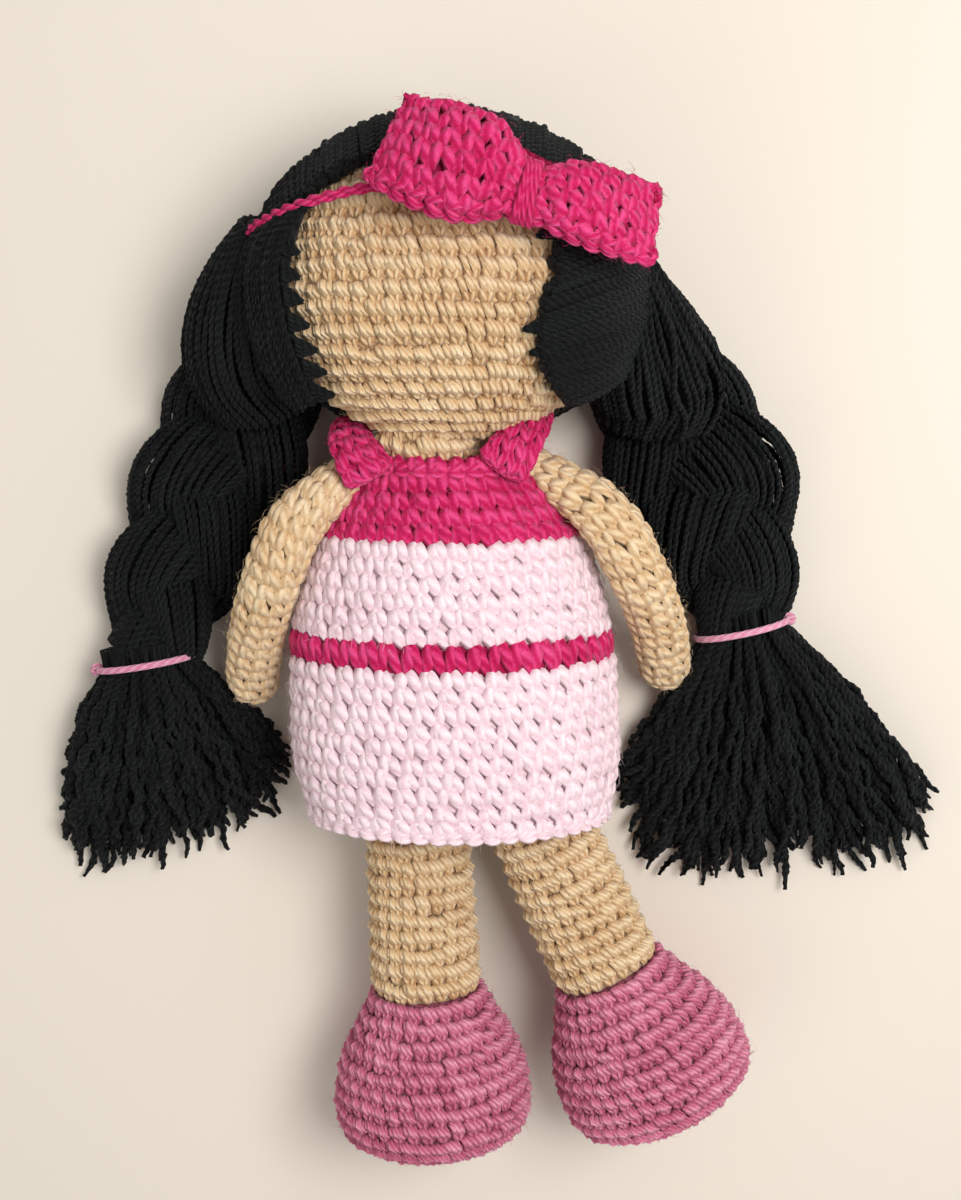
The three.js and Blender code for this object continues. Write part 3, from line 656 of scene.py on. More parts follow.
# The last round of an edge lies down along it, each loop drawn into the next.
LYING = ((-0.66, 0.62, -1.2), (-0.44, 0.66, 0.2), (-0.22, 0.64, 0.8), (0.0, 0.56, 1.0),
         (0.22, 0.44, 0.8), (0.44, 0.30, 0.2), (0.66, 0.16, -1.2))
EDGE = Stitch((LYING, tuple((across, 0.62 - up, out) for across, up, out in LYING)))


# A yarn whose middle lies above RAISED shows on top, so it is rounder and has loose fibres.
# Yarns are painted darker the deeper they lie and lighter the higher they stand, as painted shade
# and painted light: a gain, a shift and the limits of that painted shade.
RAISED = 0.3
PAINTED_SHADE_GAIN, PAINTED_SHADE_SHIFT, PAINTED_SHADE_LIMITS = 1.1, -0.35, (-1.5, 0.6)
OWN_SHADE = 0.6


def run_along(line: Array) -> Array:
    """Returns how far along a line of points each of them lies."""
    return np.concatenate([[0], np.cumsum(np.linalg.norm(np.diff(line, axis=0), axis=1))])


def row_edges(surface: Surface, span: tuple, row: float, rows: Optional[int]) -> Array:
    """Divides a form into rows of equal height.

    Args:
        surface: The form.
        span: The shares of it that are covered.
        row: Height of a row in millimetres.
        rows: The count of rows, or None to follow that height.

    Returns:
        The shares along the form at which the rows start and end.
    """
    steps = 200
    ruler = np.linspace(span[0], span[1], steps)
    quarters = (0.0, 0.25, 0.5, 0.75)
    run = np.mean([run_along(surface.point(np.full(steps, a), ruler)) for a in quarters], axis=0)
    count = rows or max(int(round(run[-1] / row)), 1)
    return np.interp(np.linspace(0, run[-1], count + 1), run, ruler)


def crochet(piece: Piece, surface: Surface, gauge: Gauge, span: tuple = (0.0, 1.0),
            seed: int = 1, keep: Optional[Callable[[Array], Array]] = None,
            rows: Optional[int] = None, stitch: Stitch = RIDGE,
            counts: Optional[Sequence[int]] = None, drift: Optional[float] = None) -> None:
    """Covers a form with rounds of single crochet, open ends back to the form's start.

    Args:
        piece: The piece that the stitches go into.
        surface: The form.
        gauge: The stitch size.
        span: The shares of the form that are covered.
        seed: Seed of the unevenness.
        keep: Says which places are seen, so that hidden stitches are left out.
        rows: The count of rows, or None to follow the gauge.
        stitch: The kind of stitch.
        counts: Stitches in each row, or None to follow the gauge.
        drift: Where the first round starts, in stitches, or None for any place.
    """
    noise = np.random.default_rng(seed)
    edges = row_edges(surface, span, gauge.row, rows)
    ring_turns = np.linspace(0, 1, 129)
    drift = noise.random() if drift is None else drift
    for row, (top, bottom) in enumerate(zip(edges, edges[1:])):
        round_run = run_along(surface.point(ring_turns, np.full(129, (top + bottom) / 2)))
        stitches = counts[row] if counts else max(int(round(round_run[-1] / gauge.stitch)), 5)
        places = (np.arange(stitches) + drift) / stitches
        places = places + noise.normal(0, gauge.unevenness * gauge.place_share, stitches) / stitches
        reach = 1 + noise.normal(0, gauge.unevenness, stitches)
        shade = np.clip(noise.normal(0, gauge.shade, stitches), -1, 1)
        for line in stitch.yarns:
            line = np.array(line)
            centre = len(line) // 2
            raised = line[centre, 2] > RAISED
            taper = np.interp(np.linspace(0, 1, len(line)),
                              np.linspace(0, 1, len(stitch.taper)), stitch.taper)
            apart = noise.normal(0, gauge.apart, (stitches, 1))
            across = places[:, None] + (line[:, 0] + apart) / stitches
            share = line[:, 1] * reach[:, None]
            share = share + gauge.wave * np.sin(
                2 * np.pi * (gauge.waves * across + gauge.wave_step * row))
            along = bottom + (top - bottom) * share
            along = np.clip(along, min(span[0], 0.0), max(span[1], 1.0))
            turn = np.interp(across % 1.0, round_run / round_run[-1], ring_turns)
            normal = surface.normal(turn, along)
            uneven = noise.normal(0, gauge.unevenness * gauge.size_share, stitches)
            size = gauge.yarn_radius * (1 + uneven)
            out = line[:, 2] * size[:, None] - gauge.sink
            lines = surface.point(turn, along) + normal * out[..., None]
            seen = np.ones(stitches, bool) if keep is None else keep(lines[:, centre])
            width = size[:, None] * taper
            # Painted shade and light: a yarn's tint grows darker the deeper it lies and lighter the
            # higher it stands, on top of the stitch's own random tone.
            depth = np.clip(PAINTED_SHADE_GAIN * line[:, 2] + PAINTED_SHADE_SHIFT, *PAINTED_SHADE_LIMITS)
            piece.tubes(lines[seen], normal[seen], width[seen], sides=5 if raised else 4,
                        flat=stitch.flat, tint=(shade[:, None] * OWN_SHADE + depth)[seen])
            if raised:
                piece.fuzz(lines[seen], normal[seen], width[seen], gauge.fibres, noise)
        drift += gauge.lean


# Finishes


def srgb(red: int, green: int, blue: int) -> tuple:
    """Returns a linear colour from its eight-bit values."""
    values = [v / 255 for v in (red, green, blue)]
    return tuple(v / 12.92 if v <= 0.04045 else ((v + 0.055) / 1.055) ** 2.4 for v in values)


class Graph:
    """A material's nodes, added and linked in short calls."""

    def __init__(self, material: bpy.types.Material) -> None:
        """Opens the material's nodes."""
        material.use_nodes = True
        self.nodes, self.links = material.node_tree.nodes, material.node_tree.links

    def put(self, socket: bpy.types.NodeSocket, value: object) -> None:
        """Links another node's output to a socket, or sets the socket to a value."""
        if isinstance(value, bpy.types.NodeSocket):
            self.links.new(value, socket)
        else:
            socket.default_value = value

    def add(self, kind: str, output: str, **inputs: object) -> bpy.types.NodeSocket:
        """Adds one node.

        Args:
            kind: Its type, without the part that all types share.
            output: Name of the output that is wanted.
            **inputs: Sockets or values by input name.

        Returns:
            That output.
        """
        node = self.nodes.new(f"ShaderNode{kind}")
        for name, value in inputs.items():
            self.put(node.inputs[name], value)
        return node.outputs[output]

    def math(self, kind: str, *values: object) -> bpy.types.NodeSocket:
        """Adds a Math node over sockets or numbers and returns its output."""
        node = self.nodes.new("ShaderNodeMath")
        node.operation = kind
        for socket, value in zip(node.inputs, values):
            self.put(socket, value)
        return node.outputs[0]


@dataclass(frozen=True)
class YarnFinish:
    """A matt or slightly shiny yarn with twisted plies and loose fibres."""

    name: str
    slot: str
    colour: tuple
    # The shade and light colours are the ends of the ramp: painted shade for grooves and sunk yarns,
    # painted light for ply crests and raised yarns.
    shade: tuple
    light: tuple
    roughness: float = 0.9
    sheen: float = 0.35
    sheen_roughness: float = 0.45
    sheen_tint: tuple = (1.0, 1.0, 1.0)
    plies: float = 3.0
    relief: float = 0.5
    relief_height: float = 0.0005
    gloss: float = 0.05
    # depth weighs the tint attribute, which holds each yarn's own tone together with painted shade
    # and light.
    depth: float = 0.22
    fibre_stretch: tuple = (9.0, 2.2, 1.0)
    fibre_slant: float = 0.35
    fibre_scale: float = 3.0
    patch_scale: float = 45.0
    painted_ply_shade_weight: float = 0.35
    fibre_weight: float = 0.75
    patch_weight: float = 0.35
    level_drop: float = 0.22
    colour_stops: tuple = (0.12, 0.5, 0.95)
    fibre_relief: float = 0.55
    made: dict = field(default_factory=dict, compare=False)

    def material(self) -> bpy.types.Material:
        """Builds the finish once and returns it."""
        if "material" in self.made:
            return self.made["material"]
        made = bpy.data.materials.new(self.name)
        graph = Graph(made)
        uv_map = graph.nodes.new("ShaderNodeUVMap")
        uv_map.uv_map = "yarn"
        uv = uv_map.outputs["UV"]
        ply, fibres = self._plies(graph, uv), self._fibres(graph, uv)
        dressing = {
            "Roughness": self.roughness, "Sheen Weight": self.sheen,
            "Sheen Roughness": self.sheen_roughness, "Sheen Tint": (*self.sheen_tint, 1),
            "Specular IOR Level": self.gloss, "Base Color": self._colour(graph, ply, fibres),
            "Normal": self._relief(graph, ply, fibres),
        }
        for name, value in dressing.items():
            graph.put(graph.nodes["Principled BSDF"].inputs[name], value)
        self.made["material"] = made
        return made

    def _plies(self, graph: Graph, uv: bpy.types.NodeSocket) -> bpy.types.NodeSocket:
        """Returns the height of the plies that wind along the yarn, from 0 to 1."""
        parts = graph.nodes.new("ShaderNodeSeparateXYZ")
        graph.put(parts.inputs[0], uv)
        plies = graph.math("MULTIPLY", parts.outputs["X"], self.plies)
        turn = graph.math("MULTIPLY", graph.math("ADD", plies, parts.outputs["Y"]), 2 * math.pi)
        return graph.math("MULTIPLY_ADD", graph.math("SINE", turn), 0.5, 0.5)

    def _fibres(self, graph: Graph, uv: bpy.types.NodeSocket) -> bpy.types.NodeSocket:
        """Returns streaks that lie along the yarn's fibres."""
        stretched = graph.add("Mapping", "Vector", Vector=uv, Scale=self.fibre_stretch,
                              Rotation=(0.0, 0.0, self.fibre_slant))
        return graph.add("TexNoise", "Fac", Vector=stretched, Scale=self.fibre_scale,
                         Detail=3.0, Roughness=0.65)

    def _colour(self, graph: Graph, ply: bpy.types.NodeSocket,
                fibres: bpy.types.NodeSocket) -> bpy.types.NodeSocket:
        """Mixes the yarn's colour.

        Args:
            graph: The material's nodes.
            ply: Height of the plies.
            fibres: The fibres' streaks.

        Returns:
            The colour, from painted shade in the grooves to painted light on the plies and raised
            yarns; fibre streaks, patches and each yarn's own tone also move it along this ramp.
        """
        place = graph.add("TexCoord", "Object")
        patches = graph.add("TexNoise", "Fac", Vector=place, Scale=self.patch_scale, Detail=2.0)
        tint = graph.nodes.new("ShaderNodeAttribute")
        tint.attribute_name = "tint"
        # Painted shade: the grooves between the plies are coloured darker and their crests lighter.
        level = graph.math("MULTIPLY", ply, self.painted_ply_shade_weight)
        for part, weight in ((fibres, self.fibre_weight), (patches, self.patch_weight),
                             (tint.outputs["Fac"], self.depth)):
            level = graph.math("MULTIPLY_ADD", part, weight, level)
        level = graph.math("SUBTRACT", level, self.level_drop)
        ramp = graph.nodes.new("ShaderNodeValToRGB")
        colours = ramp.color_ramp.elements
        dark, even, bright = self.colour_stops
        colours[0].color, colours[0].position = (*self.shade, 1), dark
        colours[1].color, colours[1].position = (*self.light, 1), bright
        colours.new(even).color = (*self.colour, 1)
        graph.put(ramp.inputs["Fac"], level)
        return ramp.outputs["Color"]

    def _relief(self, graph: Graph, ply: bpy.types.NodeSocket,
                fibres: bpy.types.NodeSocket) -> bpy.types.NodeSocket:
        """Returns the fine relief of plies and fibres."""
        height = graph.math("MULTIPLY_ADD", fibres, self.fibre_relief, ply)
        return graph.add("Bump", "Normal", Strength=self.relief, Distance=self.relief_height,
                         Height=height)


# Each finish gives its colour, its painted-shade colour and its painted-light colour.
BEIGE = YarnFinish("beige_yarn", "skin_yarn", srgb(214, 182, 140), srgb(176, 130, 84),
                   srgb(236, 216, 182), sheen=0.3, sheen_tint=(1.0, 0.93, 0.82))
HOT_PINK = YarnFinish("hot_pink_yarn", "hot_pink_yarn", srgb(196, 36, 92), srgb(142, 6, 48),
                      srgb(228, 84, 142), sheen=0.22, sheen_tint=(1.0, 0.42, 0.62))
PALE_PINK = YarnFinish("pale_pink_yarn", "pale_pink_yarn", srgb(238, 212, 218),
                       srgb(222, 182, 193), srgb(246, 230, 233), sheen=0.4,
                       sheen_tint=(1.0, 0.9, 0.93), relief=0.42, depth=0.1)
DUSKY_PINK = YarnFinish("dusky_pink_yarn", "dusky_pink_yarn", srgb(198, 108, 134),
                        srgb(146, 58, 84), srgb(230, 160, 182), sheen=0.25,
                        sheen_tint=(1.0, 0.7, 0.8))
BLACK = YarnFinish("black_yarn", "black_yarn", srgb(13, 14, 15), srgb(3, 3, 4),
                   srgb(33, 36, 36), roughness=0.66, sheen=0.04, sheen_tint=(0.85, 0.95, 1.0),
                   plies=2.0, relief=0.7, gloss=0.14, depth=0.16)
LIGHT_PINK = YarnFinish("light_pink_yarn", "light_pink_yarn", srgb(225, 150, 175),
                        srgb(180, 90, 125), srgb(245, 200, 215))


# The body in its dress


@dataclass(frozen=True)
class DressBand:
    """One band of the dress: where it runs, its yarn, and the stitches of each round."""

    name: str
    start: float
    end: float
    yarn: YarnFinish
    counts: tuple
    seed: int
    edge_span: Optional[tuple] = None
    edge_seed: int = 0
    lining: Optional[float] = None


@dataclass
class Dress:
    """The sleeveless dress in four bands of yarn."""

    gauge: Gauge = Gauge(stitch=5.4, row=4.3, yarn_radius=1.62, sink=1.4, fibres=4.6, lean=0.2)
    edge_gauge: Gauge = Gauge(stitch=4.6, row=4.3, yarn_radius=1.05, sink=0.9)
    full: int = 40
    top_counts: tuple = (28, 31, 34, 37)
    top_start: float = -0.03
    top_edge: tuple = (0.0, 0.17)
    hem_edge: tuple = (0.93, 1.0)
    lining: float = 0.3
    cloth_depth: float = 1.35
    cloth_grid: tuple = (26, 64)

    def bands(self) -> tuple:
        """Returns the four bands from the top to the hem."""
        full, first, last = self.full, DRESS.stripe_start, DRESS.stripe_end
        return (
            DressBand("bodice", self.top_start, DRESS.band_start, HOT_PINK,
                      (*self.top_counts, full), 11, edge_span=self.top_edge, edge_seed=16),
            DressBand("band", DRESS.band_start, first, PALE_PINK, (full,) * 6, 12),
            DressBand("stripe", first, last, HOT_PINK, (full,), 13),
            DressBand("skirt", last, 1.0, PALE_PINK, (full,) * 10, 14, edge_span=self.hem_edge,
                      edge_seed=15, lining=self.lining),
        )

    def build(self) -> None:
        """Crochets the four bands."""
        done = 0
        for band in self.bands():
            piece = Piece(f"dress_{band.name}_crochet")
            form = DressForm(band.start, band.end)
            piece.skin(form, self.cloth_depth, *self.cloth_grid, lining=band.lining)
            crochet(piece, form, self.gauge, rows=len(band.counts), seed=band.seed, stitch=VEE,
                    counts=band.counts, drift=self.gauge.lean * done)
            done += len(band.counts)
            if band.edge_span:
                crochet(piece, form, self.edge_gauge, span=band.edge_span, rows=1,
                        seed=band.edge_seed, stitch=EDGE)
            piece.build(band.yarn, [f"dress_{band.name}"], "body")


@dataclass
class Torso:
    """The stuffed torso: its shoulders and neck above the dress and its end in the skirt."""

    gauge: Gauge = Gauge()
    fill: float = 0.85
    shoulder_ys: tuple = (-14.5, -17.0, -20.0, -25.0, -30.0)
    shoulder_half: tuple = (22.5, 20.5)
    shoulder_shares: tuple = (0.02, 0.55, 0.8, 0.94, 1.0)
    throat: tuple = ((-5.0, -8.0, 38.5), (-5.0, -15.0, 38.5), (-5.0, -21.0, 37.0),
                     (-5.0, -27.0, 33.5))
    throat_widths: tuple = (14.5, 13.0, 13.5, 15.5)
    throat_thickness: float = 11.5
    cloth_depth: float = 2.0
    cloth_grid: tuple = (10, 40)
    dress_edge_y: float = -27.5
    lowest_seen: float = 14.0
    end_x: float = 1.4
    end_ys: tuple = (-80.0, -84.5, -89.0, -93.4)
    end_half: tuple = (37.4, 23.2)
    end_round: float = 0.5
    end_span: tuple = (0.4, 0.97)
    end_cloth_depth: float = 1.6
    end_cloth_grid: tuple = (14, 48)
    end_above_middle: float = 6.0

    def build(self) -> None:
        """Crochets the three parts that can be seen."""
        piece = Piece("torso_crochet")
        reach = smooth_shares(self.shoulder_shares)
        widest, deepest = self.shoulder_half
        rise = Route([(0.0, y, DRESS.centre_z) for y in self.shoulder_ys])
        shoulders = TubeForm(rise, lambda s: widest * reach(s), lambda s: deepest * reach(s))
        neck = TubeForm(Route(self.throat), smooth_shares(self.throat_widths),
                        lambda s: np.full(np.shape(s), self.throat_thickness))
        for seed, form in ((21, shoulders), (22, neck)):
            piece.skin(form, self.cloth_depth, *self.cloth_grid)
            crochet(piece, form, self.gauge, seed=seed, keep=self._above_dress)
        half_width, half_depth = self.end_half
        seat = Route([(self.end_x, y, DRESS.centre_z) for y in self.end_ys])
        end = TubeForm(seat, lambda s: half_width * rounded(s, 0, self.end_round),
                       lambda s: half_depth * rounded(s, 0, self.end_round))
        piece.skin(end, self.end_cloth_depth, *self.end_cloth_grid)
        crochet(piece, end, self.gauge, span=self.end_span, seed=23, keep=self._in_mouth)
        made = piece.build(BEIGE, ["torso_skin", "torso_stuffing"], "body")

    def _above_dress(self, places: Array) -> Array:
        """Returns which stitches stand above the dress."""
        return (places[:, 1] > self.dress_edge_y) & (places[:, 2] > self.lowest_seen)

    def _in_mouth(self, places: Array) -> Array:
        """Returns which stitches the open skirt lets one see."""
        return places[:, 2] > DRESS.centre_z + self.end_above_middle


@dataclass
class Head:
    """The stuffed ball of the head, crocheted in rounds from its crown to its neck."""

    gauge: Gauge = Gauge(stitch=4.4, row=5.25, yarn_radius=1.12)
    span: tuple = (0.06, 0.97)
    fill: float = 0.9
    cloth_depth: float = 2.0
    cloth_grid: tuple = (40, 64)
    face_z: float = 30.0
    face_half: float = 40.0
    face_top: float = 48.0
    neck_y: float = -6.0
    neck_z: float = 10.0

    def build(self) -> None:
        """Crochets the head."""
        piece = Piece("head_crochet")
        form = Ball(HEAD.centre, HEAD.half)
        piece.skin(form, self.cloth_depth, *self.cloth_grid)
        crochet(piece, form, self.gauge, span=self.span, seed=31, keep=self._free_of_hair)
        piece.build(BEIGE, ["head_skin", "head_stuffing"], "head")

    def _free_of_hair(self, places: Array) -> Array:
        """Returns which stitches the hair leaves free: the face and the neck's surroundings."""
        x, y, z = places[:, 0], places[:, 1], places[:, 2]
        face = (z > self.face_z) & (np.abs(x) < self.face_half) & (y < self.face_top)
        return face | ((y < self.neck_y) & (z > self.neck_z))


@dataclass
class Leg:
    """One stuffed leg and its shoe, along a line that splays from the hip."""

    side: Side
    hip_x: float
    splay: float
    length: float = 57.0
    hip_radius: float = 13.6
    ankle_radius: float = 14.8
    hip_y: float = -107.0
    hip_z: float = 26.0
    shoe_length: float = 46.0
    shoe_radius: float = 26.5
    shoe_shares: tuple = (0.58, 0.72, 0.88, 0.975, 1.0, 0.94, 0.68)
    toe_round: float = 0.22
    fill: float = 0.85
    gauge: Gauge = Gauge(stitch=4.3, row=4.75, yarn_radius=1.14)
    shoe_gauge: Gauge = Gauge(stitch=4.2, row=4.3, yarn_radius=1.08)
    span: tuple = (0.26, 0.995)
    shoe_span: tuple = (0.0, 0.99)
    cloth_depth: float = 2.4
    cloth_grid: tuple = (30, 40)
    shoe_cloth_grid: tuple = (40, 56)

    def build(self) -> None:
        """Crochets the leg and the shoe."""
        word, foot = self.side.word, self.length + self.shoe_length
        shoe_at = smooth_shares(self.shoe_shares)

        def shoe_radius(share: Array) -> Array:
            """Returns the shoe's radius at shares of its line."""
            return self.shoe_radius * shoe_at(share) * rounded(share, 0, self.toe_round)

        leg, shoe = Piece(f"leg_{word}_crochet"), Piece(f"shoe_{word}_crochet")
        form = TubeForm(self._line(-self.hip_radius, self.length), self._radius, self._radius)
        shoe_form = TubeForm(self._line(self.length, foot), shoe_radius, shoe_radius)
        leg.skin(form, self.cloth_depth, *self.cloth_grid)
        crochet(leg, form, self.gauge, span=self.span, seed=41 + self.side.value)
        shoe.skin(shoe_form, self.cloth_depth, *self.shoe_cloth_grid)
        crochet(shoe, shoe_form, self.shoe_gauge, span=self.shoe_span, seed=51 + self.side.value)
        body = f"leg_{word}"
        leg.build(BEIGE, [body, f"{body}_stuffing"], body)
        shoe.build(DUSKY_PINK, [f"shoe_{word}"], body)

    def _line(self, start: float, end: float) -> Route:
        """Returns the leg's middle between two distances from the hip."""
        turn = math.radians(self.splay)
        way = np.array([math.sin(turn), -math.cos(turn), 0.0])
        hip = np.array([self.hip_x, self.hip_y, self.hip_z])
        return Route([hip + way * run for run in np.linspace(start, end, 6)])

    def _radius(self, share: Array) -> Array:
        """Returns the leg's radius at shares of its line, with its dome round the hip."""
        run = -self.hip_radius + (self.length + self.hip_radius) * np.asarray(share, float)
        straight = self.hip_radius + (self.ankle_radius - self.hip_radius) * run / self.length
        dome = np.sqrt(np.maximum(self.hip_radius**2 - np.minimum(run, 0) ** 2, 0.01))
        return np.where(run < 0, dome, straight)


@dataclass
class Arm:
    """One thin stuffed arm that climbs out of its armhole and lies down beside the dress."""

    side: Side
    root_x: float
    out: float
    down: float
    drop: float = 28.0
    root_y: float = -23.6
    root_z: float = 37.0
    root_tuck: float = 3.0
    run_shares: tuple = ((0, 0, 0), (0.49, 0.22, -0.17), (0.7, 0.44, -0.04), (0.89, 0.71, 0.42),
                         (1, 1, 1))
    width_shares: tuple = (0.5, 0.84, 1.0, 1.0, 0.98, 0.95, 0.9)
    end_rounds: tuple = (0.05, 0.09)
    half_width: float = 7.2
    half_thickness: float = 6.0
    bend_start: float = 1.0
    bend_end: float = 15.0
    fill: float = 0.75
    gauge: Gauge = Gauge(stitch=4.6, row=4.3, yarn_radius=1.4, sink=1.3, fibres=3.0)
    span: tuple = (0.0, 0.99)
    cloth_depth: float = 2.2
    cloth_grid: tuple = (40, 24)

    def build(self) -> None:
        """Crochets the arm."""
        word = self.side.word
        root = np.array([self.root_x, self.root_y, self.root_z])
        points = [root + np.array([self.side.value * self.out * a, -self.down * b, -self.drop * c])
                  for a, b, c in self.run_shares]
        points[0] = points[0] - unit(points[1] - points[0]) * self.root_tuck
        widths = smooth_shares(self.width_shares)

        def fullness(share: Array) -> Array:
            """Returns the arm's width at shares of its route, as a share of its widest."""
            return widths(share) * rounded(share, *self.end_rounds)

        piece = Piece(f"arm_{word}_crochet")
        form = TubeForm(Route(points), lambda s: self.half_width * fullness(s),
                        lambda s: self.half_thickness * fullness(s))
        piece.skin(form, self.cloth_depth, *self.cloth_grid)
        crochet(piece, form, self.gauge, span=self.span, seed=61 + self.side.value, stitch=VEE)
        made = piece.build(BEIGE, [f"arm_{word}", f"arm_{word}_stuffing"])
        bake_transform(made)


@dataclass
class Strap:
    """One shoulder strap of the dress, worked as a short strip of stitches."""

    side: Side
    foot: tuple
    top: tuple
    back: tuple
    arch: float = 2.6
    half_widths: tuple = (6.6, 5.8, 5.0, 4.8)
    half_thickness: float = 2.4
    end_rounds: tuple = (0.05, 0.05)
    gauge: Gauge = Gauge(stitch=4.2, row=4.1, yarn_radius=1.15, sink=1.1)
    cloth_depth: float = 1.2
    cloth_grid: tuple = (14, 16)

    def build(self) -> None:
        """Builds the strap."""
        word = self.side.word
        between = (np.array(self.foot) + np.array(self.top)) / 2 + self.arch * np.array(UP)
        widths = smooth_shares(self.half_widths)
        form = TubeForm(Route([self.foot, between, self.top, self.back]),
                        lambda s: widths(s) * rounded(s, *self.end_rounds),
                        lambda s: self.half_thickness * rounded(s, *self.end_rounds))
        piece = Piece(f"dress_strap_{word}_stitches")
        piece.skin(form, self.cloth_depth, *self.cloth_grid)
        crochet(piece, form, self.gauge, seed=31 + self.side.value, stitch=VEE)
        piece.build(HOT_PINK, [f"dress_strap_{word}"], "body")


# Plaits, ties and tassels


def yarn_bundle(piece: Piece, route: Route, width: Callable, thickness: Callable, yarns: int,
                radius: float, turns: float, seed: int, rings: int,
                centre: Optional[Callable] = None) -> None:
    """Lays yarns side by side round an oval bundle.

    Args:
        piece: The piece that the yarns go into.
        route: The bundle's middle.
        width: Half width at shares of the route.
        thickness: Half thickness at shares of the route.
        yarns: How many yarns show round it.
        radius: The yarn's radius.
        turns: Turns that the yarns make round the bundle.
        seed: Seed of the unevenness.
        rings: Points along each yarn.
        centre: Shift of the bundle's middle across and up at shares of the route.
    """
    spacing, sway, sway_waves, swelling = 0.3, 0.05, (0.6, 1.6), 0.03
    core_share, core_step, core_sides = 0.8, 4, 8
    noise = np.random.default_rng(seed)
    share = np.linspace(0, 1, rings)
    forward = route.along(share)
    across = unit(np.array(ACROSS) - (forward @ np.array(ACROSS))[:, None] * forward)
    lift = np.cross(forward, across)
    middle = route.at(share)
    if centre is not None:
        sideways, up = centre(share)
        middle = middle + across * sideways[:, None] + lift * up[:, None]
        forward = unit(np.gradient(middle, axis=0))
        across = unit(across - np.sum(across * forward, axis=1)[:, None] * forward)
        lift = np.cross(forward, across)
    angle = 2 * np.pi * (np.arange(yarns) + spacing * noise.random(yarns)) / yarns
    wander = noise.normal(0, sway, (yarns, 1)) * np.sin(
        2 * np.pi * (share * noise.uniform(*sway_waves, (yarns, 1)) + noise.random((yarns, 1))))
    turn = angle[:, None] + 2 * np.pi * turns * share + wander
    swell = 1 + noise.normal(0, swelling, (yarns, 1))
    x = (width(share) - radius) * np.cos(turn) * swell
    z = (thickness(share) - radius) * np.sin(turn) * swell
    lines = middle + across * x[..., None] + lift * z[..., None]
    up = unit(across * (x / np.maximum(width(share), 1) ** 2)[..., None]
              + lift * (z / np.maximum(thickness(share), 1) ** 2)[..., None])
    tint = np.clip(noise.normal(0, TINT_SPREAD, yarns), -1, 1)
    piece.tubes(lines, up, np.full((yarns, rings), radius * LAID_FULLNESS), tint=tint, twisted=True)
    # Painted shade: the filling core gets the darkest tint, to show as shade between the yarns.
    filled = np.minimum(width(share), thickness(share))[None, ::core_step] * core_share
    piece.tubes(middle[None, ::core_step], lift[None, ::core_step], filled, sides=core_sides,
                tint=np.array([-1.0]))


@dataclass
class Plait:
    """One plait of three bundles of yarn that swing over and under each other."""

    side: Side
    places: tuple
    width_shares: tuple
    centre_z: float = 11.0
    swing: float = 9.0
    lift: float = 4.6
    half_width: float = 10.6
    half_thickness: float = 6.6
    pitch: float = 78.0
    thick_shares: tuple = (0.7, 0.9, 1.0, 1.04, 1.04, 1.0, 0.92, 0.8, 0.64)
    strands: int = 3
    yarns: int = 38
    yarn_radius: float = 0.86
    yarn_turns: float = 0.45
    rings: int = 112
    ply_pitch: float = 4.2

    def build(self) -> None:
        """Lays the three bundles."""
        route = Route([(x, y, self.centre_z) for x, y in self.places])
        size, thick = smooth_shares(self.width_shares), smooth_shares(self.thick_shares)
        body = f"plait_{self.side.word}"
        for number in range(self.strands):

            def centre(share: Array, start: float = number / self.strands) -> tuple:
                """Returns how far the strand lies to the side and up."""
                turn = 2 * np.pi * (share * route.length / self.pitch + start)
                return (self.side.value * self.swing * size(share) * np.sin(turn),
                        self.lift * thick(share) * np.sin(2 * turn))

            piece = Piece(f"{body}_bundle_{number + 1}", self.ply_pitch)
            yarn_bundle(piece, route, lambda s: self.half_width * size(s),
                        lambda s: self.half_thickness * thick(s), self.yarns, self.yarn_radius,
                        self.yarn_turns * self.side.value, 70 + number, self.rings, centre)
            piece.build(BLACK, [f"{body}_strand_{number + 1}"], body)


